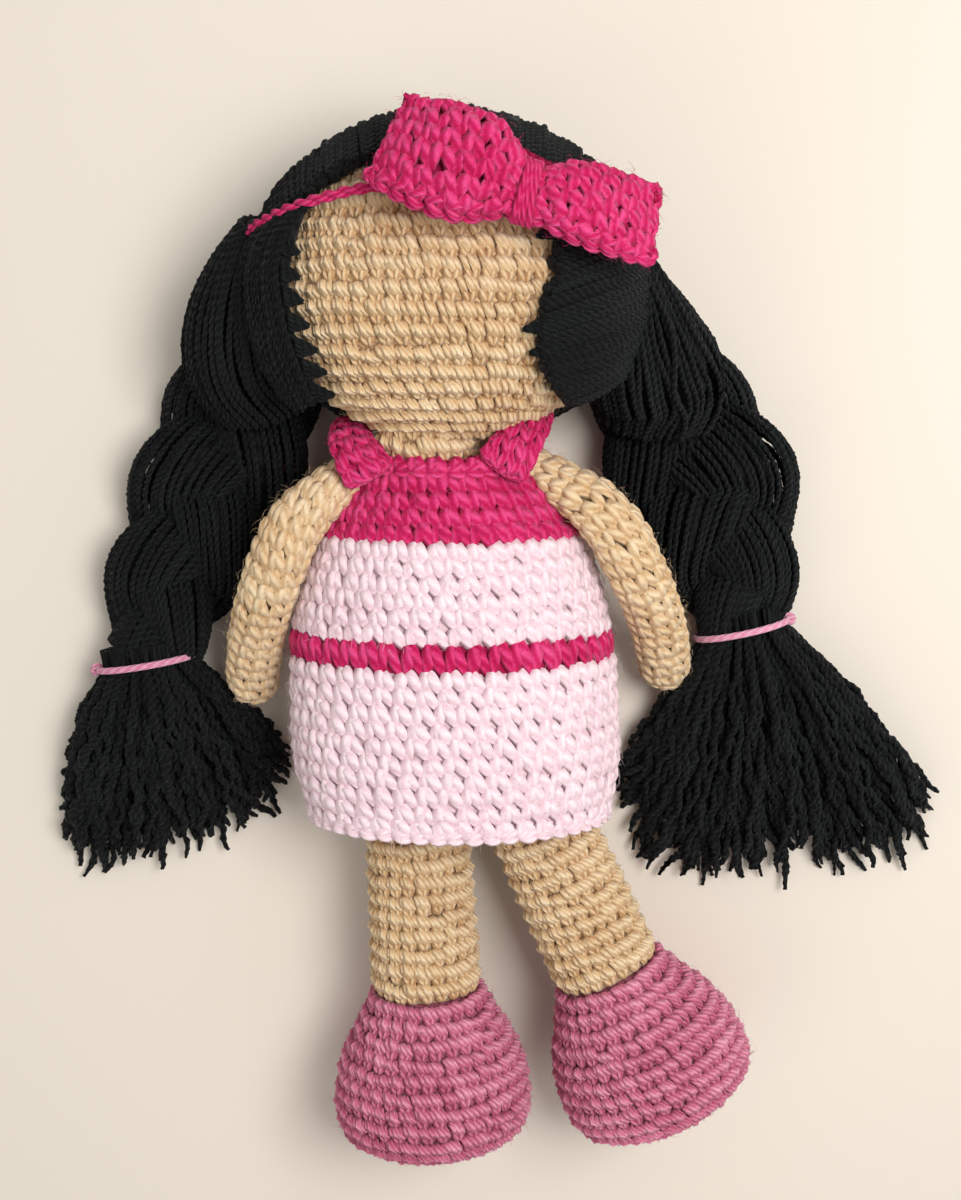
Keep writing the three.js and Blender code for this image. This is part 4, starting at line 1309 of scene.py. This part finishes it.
@dataclass
class Tie:
    """The light yarn wound twice round a plait's end and knotted at its outer side."""

    plait: Plait
    ends: tuple
    wraps: int = 2
    yarn_radius: float = 0.62
    ply_pitch: float = 3.0
    slack: float = 0.6
    above_strands: float = 1.9
    spread: float = 1.2
    knot_radius: float = 1.25
    knot_out: float = 0.3
    knot_tilts: tuple = (0.0, 1.1, 2.2)
    rings: int = 90
    knot_rings: int = 24
    sides: int = 6

    def axes(self) -> tuple:
        """Returns the tie's middle, its direction across the plait and that towards the tassel."""
        first, last = np.array(self.ends)
        across = unit(np.append(last - first, 0.0))
        return (np.append((first + last) / 2, self.plait.centre_z), across,
                np.cross(across, np.array(UP)))

    def build(self) -> None:
        """Winds the tie and knots it."""
        body = f"plait_{self.plait.side.word}"
        piece = Piece(f"{body}_tie_yarn", self.ply_pitch)
        middle, across, forward = self.axes()
        half = np.linalg.norm(np.subtract(*self.ends)) / 2 + self.slack
        rise = ((self.plait.half_thickness + self.plait.lift) * self.plait.thick_shares[-1]
                + self.above_strands)
        wound = 2 * np.pi * self.wraps
        turn = np.linspace(0, wound, self.rings)
        line = (middle + across * (half * np.cos(turn))[:, None]
                + np.array(UP) * (rise * np.sin(turn))[:, None]
                + forward * (self.spread * (turn / wound - 0.5))[:, None])
        self._lay(piece, line, middle)
        knot = middle + across * self.plait.side.value * (half + self.knot_out)
        loops = np.linspace(0, 2 * np.pi, self.knot_rings)
        for tilt in self.knot_tilts:
            ring = [np.cos(loops), np.sin(loops) * math.cos(tilt), np.sin(loops) * math.sin(tilt)]
            self._lay(piece, knot + self.knot_radius * np.stack(ring, -1), knot)
        piece.build(LIGHT_PINK, [f"{body}_tie"], body)

    def _lay(self, piece: Piece, line: Array, middle: Array) -> None:
        """Adds one run of the tie's yarn, facing away from a middle."""
        piece.tubes(line[None], unit(line - middle)[None], np.full((1, len(line)), self.yarn_radius),
                    sides=self.sides)


@dataclass
class Tassel:
    """The fan of cut yarn ends below a tie."""

    tie: Tie
    tips: tuple
    yarns: int = 230
    yarn_radius: float = 1.08
    ply_pitch: float = 4.4
    rings: int = 64
    golden: float = 0.618034
    clumps: int = 17
    clump_waves: int = 5
    start_share: float = 0.88
    half_depth: float = 8.2
    lowest_tip: float = 1.4
    tip_rise: float = 6.0
    swell_inside: float = 4.6
    swell_outside: float = 6.5
    waves: tuple = ((0.9, 2.2), (0.5, 6.5))
    wave_uneven: tuple = (0.7, 1.3)
    wave_lag: int = 7
    clump_sway: float = 0.2
    clump_pull: float = 0.008
    clump_shorter: float = 0.05
    upper_shorter: float = 0.16
    cut_uneven: float = 0.07
    tip_uneven: float = 0.6
    bulge_share: float = 0.4
    bulge_forward: float = 2.5
    bulge_lift: float = 1.5
    bulge_rise: float = 3.0
    curl_share: float = 0.14
    curl: float = 1.5
    radius_uneven: float = 0.08
    frayed_rings: tuple = (8, 3, 0)
    frayed_shares: tuple = (1.0, 1.2, 0.6)
    back_in_tie: float = 5.0
    bend_back: float = 1.0
    bend_on: float = 12.0

    def build(self) -> None:
        """Fans the yarns out."""
        word = self.tie.plait.side.word
        noise = np.random.default_rng(90 + self.tie.plait.side.value)
        count, rings = self.yarns, self.rings
        middle, _, forward = self.tie.axes()
        lines = self._lines(noise)
        up = np.broadcast_to(np.array(UP), lines.shape)
        width = np.full((count, rings + 1), self.yarn_radius)
        width = width * (1 + noise.normal(0, self.radius_uneven, (count, 1)))
        width = width * np.interp(np.arange(rings + 1), rings - np.array(self.frayed_rings),
                                  self.frayed_shares)
        piece = Piece(f"tassel_{word}_yarns", self.ply_pitch)
        tint = np.clip(noise.normal(0, TINT_SPREAD, count), -1, 1)
        piece.tubes(lines, up, width, tint=tint, twisted=True)
        made = piece.build(BLACK, [f"tassel_{word}"])
        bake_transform(made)

    def _lines(self, noise: Noise) -> Array:
        """Lays the yarns' middles, from inside the tie to their loose tips.

        Args:
            noise: The source of chance.

        Returns:
            Points that fit (yarns, rings + 1, 3).
        """
        count = self.yarns
        middle, along, forward = self.tie.axes()
        first, last = np.array(self.tie.ends)
        spread = (np.arange(count) * self.golden) % 1.0
        sway = self.clump_sway * np.sin(2 * np.pi * spread * self.clump_waves)
        clump = np.sin(2 * np.pi * (spread * self.clumps + sway))
        level = noise.random(count)
        tips = Route([(x, y, 0.0) for x, y in self.tips])
        tip = tips.at(np.clip(spread * 0.98 + 0.01 + self.clump_pull * clump, 0, 1))
        start = np.empty((count, 3))
        inside = (1 - self.start_share) / 2 + self.start_share * spread[:, None]
        start[:, :2] = first + (last - first) * inside
        room = np.sqrt(np.maximum(1 - (2 * spread - 1) ** 2, 0.05))
        start[:, 2] = middle[2] + self.half_depth * room * (2 * level - 1)
        way = tip[:, :2] - start[:, :2]
        shorter = (1 + self.clump_shorter * clump - self.upper_shorter * level**2
                   - np.abs(noise.normal(0, self.cut_uneven, count)))
        tip[:, :2] = start[:, :2] + way * shorter[:, None]
        tip[:, 2] = self.lowest_tip + self.tip_rise * level
        tip[:, 2] += noise.normal(0, self.tip_uneven, count)
        outward = (2 * spread - 1)[:, None] * along
        near = (2 * spread - 1) * self.tie.plait.side.value < 0
        swell = np.where(near, self.swell_inside, self.swell_outside)[:, None]
        bulge = (start + self.bulge_share * (tip - start) + outward * swell
                 + forward * self.bulge_forward)
        bulge[:, 2] = start[:, 2] + self.bulge_lift + self.bulge_rise * level * room
        lines = bend(start, bulge, tip, self.rings)
        share = np.linspace(0, 1, self.rings)
        aside = unit(np.stack([-way[:, 1], way[:, 0], np.zeros(count)], -1))
        free = np.clip(share * 3, 0, 1) * (0.5 + 0.8 * share)
        for size, waves in self.waves:
            wave = np.sin(2 * np.pi * (share * waves * noise.uniform(*self.wave_uneven, (count, 1))
                                       + noise.random((count, 1))))
            lines = lines + aside[:, None] * (size * free * wave)[..., None]
            lines[..., 2] += size * free * np.roll(wave, self.wave_lag, axis=1)
        curled = np.clip((share - 1 + self.curl_share) / self.curl_share, 0, 1) ** 2
        lines = lines + noise.normal(0, self.curl, (count, 1, 3)) * curled[:, None]
        lines[..., 2] = np.maximum(lines[..., 2], self.yarn_radius + FLOOR_GAP)
        back = start - forward * self.back_in_tie
        return np.concatenate([back[:, None], lines], axis=1)


# Hair on the head, with its band and bow


def on_hair(ways: Array, lift: Array = 0.0) -> Array:
    """Puts directions from the head's middle onto the outside of its hair.

    Args:
        ways: Directions, before the hair's ball is drawn out into an egg.
        lift: Height above the hair in millimetres.

    Returns:
        Places in millimetres, kept above the ground.
    """
    half = np.array(HEAD.hair_half)
    ways = unit(np.asarray(ways, float))
    out = unit(ways / half)
    places = np.array(HEAD.centre) + ways * half + out * np.asarray(lift)[..., None]
    places[..., 2] = np.maximum(places[..., 2], HEAD.lowest_yarn)
    return places


@dataclass(frozen=True)
class Layer:
    """Yarns laid side by side, with the unevenness of their directions and heights."""

    count: int
    radius: float
    lift: float
    rings: int
    wave: float
    wave_run: float
    jitter: float = 0.008


@dataclass
class Hair:
    """One side of the hair: yarns over the crown, round the back and beside the face."""

    side: Side
    edge: tuple
    tufts: tuple
    lobe: tuple
    lobe_half: tuple = (6.0, 12.0, 15.6, 17.2, 15.0)
    lobe_thick: tuple = (5.0, 12.0, 16.0, 16.0, 12.0)
    lobe_yarns: int = 62
    lobe_turns: float = 0.1
    lobe_rings: int = 54
    yarn_radius: float = 0.85
    ply_pitch: float = 4.0
    # Directions from the head's middle, given for the right side and turned over for the left.
    crown_layers: tuple = (Layer(34, 1.7, -2.6, 30, 0.4, 7.0), Layer(76, 0.85, -0.9, 90, 0.4, 7.0))
    crown_start: tuple = ((-0.12, 0.35, -0.93), (0.42, 0.32, -0.86), (0.86, 0.25, -0.5))
    crown_middle: tuple = ((-0.12, 1.5, 0.1), (0.65, 1.25, 0.05), (1.12, 0.62, -0.1))
    crown_end: tuple = ((-0.12, 0.7, 0.72), (0.3, 0.71, 0.66), (0.54, 0.62, 0.58),
                        (0.77, 0.43, 0.5), (0.93, 0.30, 0.24))
    back_layers: tuple = (Layer(34, 1.7, -2.6, 24, 0.35, 5.0), Layer(78, 0.85, -0.9, 36, 0.35, 5.0))
    back_start: tuple = ((-0.03, 0.42, -0.9), (-0.03, -0.1, -1.0), (-0.03, -0.6, -0.78),
                         (-0.03, -0.8, -0.52))
    back_end: tuple = ((0.93, 0.34, 0.24), (0.97, 0.12, 0.1), (0.95, -0.12, -0.1),
                       (0.9, -0.36, -0.2))
    back_droop: float = 0.15
    # Directions as they are: beside the face the left side's yarns hang down, and those of the
    # right side cross from the face's edge to the plait.
    face_layers: tuple = (Layer(30, 1.7, -2.2, 20, 0.4, 6.0, 0.01),
                          Layer(66, 0.85, -0.4, 52, 0.4, 6.0, 0.01))
    hanging_top: tuple = ((-0.93, 0.3, 0.2), (-0.83, 0.36, 0.42), (-0.72, 0.40, 0.56))
    hanging_middle: tuple = ((-1.0, 0.0, 0.05), (-0.96, -0.02, 0.44), (-0.91, -0.18, 0.7))
    hanging_end: tuple = ((-0.95, -0.3, -0.1), (-0.88, -0.48, 0.18), (-0.7, -0.7, 0.44))
    hanging_bulge: float = 1.1
    crossing_end: tuple = ((0.93, 0.3, 0.2), (1.0, 0.0, -0.02), (0.92, -0.4, -0.12))
    crossing_shares: tuple = (0.5, 0.5, 0.62)
    crossing_rise: float = 0.05
    edge_yarns: int = 17
    edge_shift: tuple = (-14.0, -3.0)
    edge_rings: int = 48
    edge_lifts: tuple = (0.1, 0.6)
    radius_uneven: float = 0.06
    tuft_pulls: tuple = (-1.5, -0.5, 0.5, 1.5)
    tuft_lifts: tuple = (-2.6, -0.6)
    tuft_root_up: float = 1.6
    tuft_root_spread: float = 1.15
    tuft_bow: float = 0.35
    tuft_rise: float = 0.7
    tuft_taper: tuple = (1.25, 0.7)
    tuft_rings: int = 8
    tuft_tinting: float = 0.4

    def build(self) -> None:
        """Builds this side of the hair as one piece on the head."""
        word = self.side.word
        piece = Piece(f"hair_{word}_yarns", self.ply_pitch)
        noise = np.random.default_rng(50 + self.side.value)
        self._crown(piece, noise)
        self._back(piece, noise)
        if self.side is Side.LEFT:
            self._hanging(piece, noise)
            self._edge(piece, noise)
        else:
            self._crossing(piece, noise)
        self._tufts(piece, noise)
        yarn_bundle(piece, Route(self.lobe), smooth_shares(self.lobe_half),
                    smooth_shares(self.lobe_thick), self.lobe_yarns, self.yarn_radius,
                    self.lobe_turns * self.side.value, 60 + self.side.value, self.lobe_rings)
        piece.build(BLACK, [f"hair_{word}"], "head")

    def _lay(self, piece: Piece, ways: Array, lift: Array, noise: Noise, radius: float) -> None:
        """Lays yarns along directions over the hair; thin ones show their two plies.

        Args:
            piece: The hair's piece.
            ways: Directions that fit (yarns, rings, 3).
            lift: Heights above the hair, of a shape that fits.
            noise: The source of chance.
            radius: The yarns' radius.
        """
        twisted = radius < 1
        if twisted:
            radius *= LAID_FULLNESS
        lines = on_hair(ways, np.broadcast_to(lift, ways.shape[:-1]))
        uneven = noise.normal(0, self.radius_uneven, (len(lines), 1))
        width = np.full(lines.shape[:-1], radius) * (1 + uneven)
        tint = np.clip(noise.normal(0, TINT_SPREAD, len(lines)), -1, 1)
        piece.tubes(lines, unit(ways), width, tint=tint, twisted=twisted)

    def _sheet(self, piece: Piece, noise: Noise, layer: Layer, curves: Sequence[Array],
               moved: tuple = (0, 2), mirror: Sequence[float] = (1.0, 1.0, 1.0)) -> None:
        """Lays one layer of yarns along curves.

        Args:
            piece: The hair's piece.
            noise: The source of chance.
            layer: The layer.
            curves: First, middle and last directions of each yarn.
            moved: Which of these three are uneven.
            mirror: What turns the directions over to the other side.
        """
        curves = list(curves)
        shifts = noise.normal(0, layer.jitter, (len(moved), layer.count, 3))
        for which, shift in zip(moved, shifts):
            curves[which] = curves[which] + shift
        ways = bend(*curves, layer.rings) * np.array(mirror)
        wave = noise.normal(0, layer.wave, (layer.count, 1)) * np.sin(
            np.linspace(0, layer.wave_run, layer.rings))
        self._lay(piece, ways, layer.lift + wave, noise, layer.radius)

    def _crown(self, piece: Piece, noise: Noise) -> None:
        """Lays the yarns that come over the crown to the face's edge and the band."""
        for layer in self.crown_layers:
            share = np.linspace(0, 1, layer.count)
            curves = [Route(way).at(share)
                      for way in (self.crown_start, self.crown_middle, self.crown_end)]
            self._sheet(piece, noise, layer, curves, (0, 1, 2), (self.side.value, 1.0, 1.0))

    def _back(self, piece: Piece, noise: Noise) -> None:
        """Lays the yarns from the parting behind the head round to the plait's root."""
        for layer in self.back_layers:
            share = np.linspace(0, 1, layer.count)
            first, last = Route(self.back_start).at(share), Route(self.back_end).at(share)
            middle = first + last
            middle[:, 1] -= self.back_droop * share
            self._sheet(piece, noise, layer, (first, middle, last),
                        mirror=(self.side.value, 1.0, 1.0))

    def _hanging(self, piece: Piece, noise: Noise) -> None:
        """Lays the yarns that hang down beside the face."""
        for layer in self.face_layers:
            share = np.linspace(0, 1, layer.count)
            middle = Route(self.hanging_middle).at(share) * self.hanging_bulge
            self._sheet(piece, noise, layer, (Route(self.hanging_top).at(share), middle,
                                              Route(self.hanging_end).at(share)))

    def _crossing(self, piece: Piece, noise: Noise) -> None:
        """Lays the yarns that cross from the face's edge to the plait."""
        edge = np.array([self._way(x, y) for x, y in self.edge])
        for layer in self.face_layers:
            share = np.linspace(0, 1, layer.count)
            first, last = Route(edge).at(share), Route(self.crossing_end).at(share)
            middle = (first + last) * np.array(self.crossing_shares)
            middle[:, 1] += self.crossing_rise
            self._sheet(piece, noise, layer, (first, middle, last))

    def _edge(self, piece: Piece, noise: Noise) -> None:
        """Lays the yarns that follow the face's edge, each further out than the last."""
        low, high = self.edge_lifts
        for step in np.linspace(0.0, 1.0, self.edge_yarns):
            places = np.array(self.edge[1:]) + step * np.array(self.edge_shift)
            line = Route([self._way(x, y) for x, y in places])
            ways = line.at(np.linspace(0, 1, self.edge_rings))[None]
            lift = np.array(low + (high - low) * noise.random())
            self._lay(piece, ways, lift, noise, self.yarn_radius)

    def _tufts(self, piece: Piece, noise: Noise) -> None:
        """Lays the small points of yarn that reach out between the face's rows."""
        tip_lift, root_lift = self.tuft_lifts
        taper = np.linspace(*self.tuft_taper, self.tuft_rings)[None]
        for x, y, reach in self.tufts:
            tip = on_hair(self._way(x, y)[None], np.array([tip_lift]))[0]
            for pull in self.tuft_pulls:
                root_way = self._way(x + self.side.value * reach,
                                     y + self.tuft_root_up + pull * self.tuft_root_spread)
                root = on_hair(root_way[None], np.array([root_lift]))[0]
                middle = (tip + root) / 2 + np.array([0, pull * self.tuft_bow, self.tuft_rise])
                line = bend(root[None], middle[None], tip[None], self.tuft_rings)
                piece.tubes(line, unit(line - np.array(HEAD.centre)), self.yarn_radius * taper,
                            tint=np.array([noise.normal(0, self.tuft_tinting)]), twisted=True)

    @staticmethod
    def _way(x: float, y: float) -> Array:
        """Returns the direction of the place on the hair's front above a point."""
        across = (x - HEAD.centre[0]) / HEAD.hair_half[0]
        up = (y - HEAD.centre[1]) / HEAD.hair_half[1]
        return np.array([across, up, math.sqrt(max(1 - across**2 - up**2, 0.01))])


@dataclass
class Headband:
    """The twisted pink cord round the hair."""

    ways: tuple = ((-0.2, 0.5, 0.84), (-0.45, 0.46, 0.76), (-0.72, 0.38, 0.55),
                   (-0.93, 0.3, 0.2), (-0.93, 0.27, -0.3), (-0.6, 0.25, -0.78),
                   (0.0, 0.22, -0.99), (0.6, 0.25, -0.78), (0.93, 0.27, -0.3),
                   (0.93, 0.3, 0.2), (0.7, 0.36, 0.6), (0.3, 0.48, 0.8), (-0.2, 0.5, 0.84))
    above_hair: float = 0.6
    lowest: float = 1.7
    ply_radius: float = 0.84
    ply_out: float = 0.62
    twist: float = 8.0
    ply_pitch: float = 2.6
    rings: int = 260

    def build(self) -> None:
        """Twists two plies into the cord."""
        ring = Route(on_hair(np.array(self.ways), np.full(len(self.ways), self.above_hair)))
        share = np.linspace(0, 1, self.rings)
        middle = ring.at(share)
        middle[:, 2] = np.maximum(middle[:, 2], self.lowest)
        out = unit(middle - np.array(HEAD.centre))
        side = np.cross(ring.along(share), out)
        piece = Piece("headband_cord", self.ply_pitch)
        for start in (0.0, np.pi):
            turn = start + 2 * np.pi * share * round(ring.length / self.twist)
            ply = self.ply_out * (out * np.cos(turn)[:, None] + side * np.sin(turn)[:, None])
            piece.tubes((middle + ply)[None], out[None],
                        np.full((1, self.rings), self.ply_radius), sides=6)
        piece.build(HOT_PINK, ["headband"], "head")


@dataclass
class BowForm(Surface):
    """A flat band pinched at its middle; rounds run along it and over its back."""

    middle: Route
    half_width: Callable
    half_thickness: Callable
    pinch: float
    lean: float
    crease: float = 0.56
    crease_half: float = 0.07
    end_roundness: float = 0.8
    edge_roundness: float = 2.4

    def axes(self, share: Array) -> tuple:
        """Returns the directions out of the band's front and across it at shares of its length."""
        tilt = math.radians(self.lean)
        out = np.array([0.0, math.sin(tilt), math.cos(tilt)])
        return out, unit(np.cross(out, self.middle.along(share)))

    def point(self, around: Array, along: Array) -> Array:
        """Returns the places on the band, `along` running from its upper to its lower edge."""
        turn = 2 * np.pi * np.asarray(around, float)
        share = (1 + np.sign(np.cos(turn)) * np.abs(np.cos(turn)) ** self.end_roundness) / 2
        across = 1 - 2 * np.asarray(along, float)
        place, (out, rise) = self.middle.at(share), self.axes(share)
        before, after = share / self.pinch / 2, (share - self.pinch) / (1 - self.pinch) / 2
        share = np.where(share < self.pinch, before, 0.5 + after)
        lift = np.sin(turn)
        round_edge = np.sqrt(np.maximum(1 - np.abs(across) ** self.edge_roundness, 0.002))
        crease = self.crease * np.exp(-((share - 0.5) / self.crease_half) ** 2)
        return (place + rise * (self.half_width(share) * across)[..., None]
                + out * (self.half_thickness(share) * lift * round_edge
                         - crease * lift)[..., None])


@dataclass
class Bow:
    """The crocheted bow with the yarn wound round its pinch."""

    middle: tuple = ((-12.8, 50.6, 73.0), (-3.5, 46.8, 76.6), (8.0, 42.8, 77.6),
                     (18.4, 38.2, 76.6), (28.5, 36.4, 76.8), (38.5, 33.8, 74.2),
                     (47.6, 31.4, 70.2))
    half_widths: tuple = (10.6, 12.6, 12.0, 6.0, 8.8, 9.4, 9.0)
    half_thicknesses: tuple = (4.0, 6.2, 6.6, 3.8, 6.0, 5.4, 4.0)
    pinch: float = 0.525
    lean: float = 15.0
    gauge: Gauge = Gauge(stitch=5.2, row=4.1, yarn_radius=1.5, sink=1.3, unevenness=0.14,
                         fibres=4.0, lean=0.45)
    rows: int = 6
    edge_gauge: Gauge = Gauge(stitch=4.6, row=4.0, yarn_radius=0.95, sink=0.9)
    edge_span: tuple = (0.87, 1.0)
    core_inset: float = 2.0
    core_share: float = 0.5
    core_grid: tuple = (20, 80)
    wrap_turns: int = 5
    wrap_step: float = 0.85
    wrap_sway: float = 0.5
    wrap_half: tuple = (7.0, 4.7)
    wrap_radius: float = 0.75
    wrap_uneven: float = 0.1
    wrap_rings: int = 40
    wrap_ply_pitch: float = 3.4

    def build(self) -> None:
        """Builds the band and the wrap."""
        middle = Route(self.middle)
        wide, thick = smooth_shares(self.half_widths), smooth_shares(self.half_thicknesses)
        form = BowForm(middle, wide, thick, self.pinch, self.lean)
        core = BowForm(middle, lambda s: wide(s) - self.core_inset,
                       lambda s: thick(s) * self.core_share, self.pinch, self.lean)
        piece = Piece("bow_stitches")
        piece.skin(core, 0.0, *self.core_grid)
        crochet(piece, form, self.gauge, seed=41, rows=self.rows, stitch=VEE)
        crochet(piece, form, self.edge_gauge, span=self.edge_span, seed=42, rows=1, stitch=EDGE)
        piece.build(HOT_PINK, ["bow"], "head")
        self._wrap(form)

    def _wrap(self, form: BowForm) -> None:
        """Winds the thin yarn round the pinch."""
        piece = Piece("bow_wrap_yarn", self.wrap_ply_pitch)
        centre, forward = form.middle.at(self.pinch), form.middle.along(self.pinch)
        out, rise = form.axes(self.pinch)
        noise = np.random.default_rng(44)
        turn = np.linspace(0, 2 * np.pi, self.wrap_rings)
        half_width, half_depth = self.wrap_half
        for number in range(self.wrap_turns):
            shift = (number - self.wrap_turns // 2) * self.wrap_step
            ring = (centre + forward * (shift + self.wrap_sway * np.sin(turn + number))[:, None]
                    + rise * (half_width * np.cos(turn))[:, None]
                    + out * ((half_depth + noise.normal(0, self.wrap_uneven))
                             * np.sin(turn))[:, None])
            piece.tubes(ring[None], unit(ring - centre)[None],
                        np.full((1, self.wrap_rings), self.wrap_radius), sides=6)
        piece.build(HOT_PINK, ["bow_wrap"], "head")


# Camera, lights and floor


@dataclass(frozen=True)
class Lamp:
    """A soft square lamp: where it hangs and what it faces in metres, its side and its power."""

    name: str
    place: tuple
    target: tuple
    size: float
    power: float

    def hang(self) -> None:
        """Hangs the lamp."""
        data = bpy.data.lights.new(self.name, "AREA")
        data.shape = "SQUARE"
        data.size = self.size
        data.energy = self.power
        lamp = bpy.data.objects.new(self.name, data)
        lamp.location = self.place
        lamp.rotation_mode = "QUATERNION"
        facing = Vector(self.target) - Vector(self.place)
        lamp.rotation_quaternion = facing.to_track_quat("-Z", "Y")
        bpy.context.scene.collection.objects.link(lamp)


@dataclass
class Studio:
    """A pale floor, soft lights and a camera at the photograph's angle."""

    camera_place: tuple = (8.0, 0.0, 450.0)
    camera_tilt: float = 8.0
    focal_pixels: float = 1654.0
    image_height: float = 1200.0
    sensor_width: float = 36.0
    nearest_seen: float = 0.01
    floor_half: float = 1.5
    floor_colour: tuple = srgb(228, 218, 204)
    floor_roughness: float = 0.9
    air_colour: tuple = (1.0, 0.98, 0.96)
    air_light: float = 0.42
    lamps: tuple = (Lamp("key", (0.24, 0.14, 0.62), (0.0, 0.0, 0.0), 0.3, 3.6),
                    Lamp("fill", (-0.7, -0.5, 0.75), (0.0, 0.0, 0.0), 0.8, 1.8),
                    Lamp("rim", (0.5, 0.9, 0.6), (0.0, 0.0, 0.02), 0.7, 1.4))

    def build(self) -> None:
        """Sets up the floor, the camera, the lamps and the world."""
        self._floor()
        self._camera()
        for lamp in self.lamps:
            lamp.hang()
        world = bpy.data.worlds.new("studio")
        bpy.context.scene.world = world
        world.use_nodes = True
        light = world.node_tree.nodes["Background"]
        light.inputs["Color"].default_value = (*self.air_colour, 1)
        light.inputs["Strength"].default_value = self.air_light
        bpy.context.scene.view_settings.view_transform = "Standard"

    def _floor(self) -> None:
        """Lays the pale floor."""
        mesh = bmesh.new()
        bmesh.ops.create_grid(mesh, x_segments=2, y_segments=2, size=self.floor_half)
        data = bpy.data.meshes.new("floor")
        mesh.to_mesh(data)
        mesh.free()
        floor = bpy.data.objects.new("floor", data)
        bpy.context.scene.collection.objects.link(floor)
        finish = bpy.data.materials.new("floor_paper")
        finish.use_nodes = True
        shader = finish.node_tree.nodes["Principled BSDF"]
        shader.inputs["Base Color"].default_value = (*self.floor_colour, 1)
        shader.inputs["Roughness"].default_value = self.floor_roughness
        data.materials.append(finish)

    def _camera(self) -> None:
        """Sets the camera where the photograph was taken from."""
        tilt = math.radians(self.camera_tilt)
        data = bpy.data.cameras.new("photo_view")
        data.sensor_width = self.sensor_width
        data.lens = self.focal_pixels / self.image_height * self.sensor_width
        data.clip_start = self.nearest_seen
        camera = bpy.data.objects.new("photo_view", data)
        bpy.context.scene.collection.objects.link(camera)
        up = Vector((0, math.cos(tilt), -math.sin(tilt)))
        back = Vector((0, math.sin(tilt), math.cos(tilt)))
        turn = Matrix((Vector((1, 0, 0)), up, back)).transposed().to_4x4()
        camera.matrix_world = Matrix.Translation(Vector(metres(self.camera_place))) @ turn
        bpy.context.scene.camera = camera


def plaits() -> list:
    """Returns both plaits with their ties and tassels, in the order in which they are built."""
    left = Plait(Side.LEFT, ((-49.0, 5.0), (-56.5, -18.0), (-66.5, -39.5), (-76.0, -61.0),
                             (-81.5, -77.0)),
                 (0.82, 1.0, 1.12, 1.15, 1.1, 1.03, 0.95, 0.82, 0.66))
    left_tie = Tie(left, ((-94.4, -80.5), (-69.0, -76.5)))
    left_tassel = Tassel(left_tie, ((-105.6, -112.0), (-104.7, -137.0), (-75.6, -134.0),
                                    (-50.2, -121.0), (-43.8, -104.0)))
    right = Plait(Side.RIGHT, ((50.0, 5.0), (58.5, -13.0), (67.5, -31.0), (75.0, -52.0),
                               (78.3, -68.5)),
                  (0.8, 0.95, 1.12, 1.26, 1.3, 1.2, 1.03, 0.86, 0.66))
    right_tie = Tie(right, ((66.4, -72.0), (90.0, -67.0)))
    right_tassel = Tassel(right_tie, ((44.0, -112.0), (55.0, -139.0), (91.5, -140.0),
                                      (129.0, -134.0), (135.6, -118.0)))
    return [left, left_tie, left_tassel, right, right_tie, right_tassel]


def hair() -> list:
    """Returns the two sides of the hair, with the photographed edges of the face."""
    left = Hair(
        Side.LEFT,
        edge=((-13.6, 41.0), (-30.0, 37.6), (-36.8, 30.5), (-39.1, 22.0), (-37.9, 11.5),
              (-34.5, -0.5), (-31.5, -8.5)),
        tufts=((-35.4, 26.6, 3.0), (-35.2, 20.6, 3.2), (-34.4, 14.8, 3.4), (-33.0, 8.9, 3.8),
               (-31.2, 2.9, 4.2), (-29.2, -2.4, 4.6), (-27.6, -8.0, 5.0)),
        lobe=((-44.5, 34.0, 42.0), (-47.5, 21.0, 35.0), (-50.0, 9.0, 28.0), (-50.0, 1.0, 23.0),
              (-47.0, -9.0, 17.0)))
    right = Hair(
        Side.RIGHT,
        edge=((25.6, 28.0), (25.6, 20.0), (22.4, 12.0), (22.0, 5.0), (25.0, -4.0),
              (30.7, -9.0)),
        tufts=((18.4, 8.0, 6.0), (20.0, 2.4, 6.0), (21.6, 30.0, 4.0), (24.0, -3.4, 5.0),
               (27.4, -8.0, 5.0)),
        lobe=((42.0, 28.0, 44.0), (44.5, 15.0, 36.0), (49.5, 4.0, 28.0), (54.0, -4.0, 22.0),
              (54.0, -13.0, 17.0)))
    return [left, right]


def main() -> None:
    """Builds the studio, then the doll piece by piece, and logs each piece."""
    logging.basicConfig(level=logging.INFO, format="%(message)s")
    parts = [
        Studio(), Head(), Torso(), Dress(),
        Leg(Side.LEFT, hip_x=-9.3, splay=3.0), Leg(Side.RIGHT, hip_x=18.3, splay=24.5),
        Arm(Side.LEFT, root_x=-21.4, out=32.5, down=65.0),
        Arm(Side.RIGHT, root_x=20.8, out=37.6, down=61.0),
        *hair(), Headband(), Bow(),
        Strap(Side.LEFT, foot=(-18.4, -27.0, 46.0), top=(-24.0, -17.6, 40.0),
              back=(-24.8, -14.0, 27.0)),
        Strap(Side.RIGHT, foot=(12.4, -25.0, 49.5), top=(20.0, -13.5, 42.0),
              back=(21.5, -10.0, 27.0)),
        *plaits(),
    ]
    for part in parts:
        part.build()


if __name__ == "__main__":
    main()
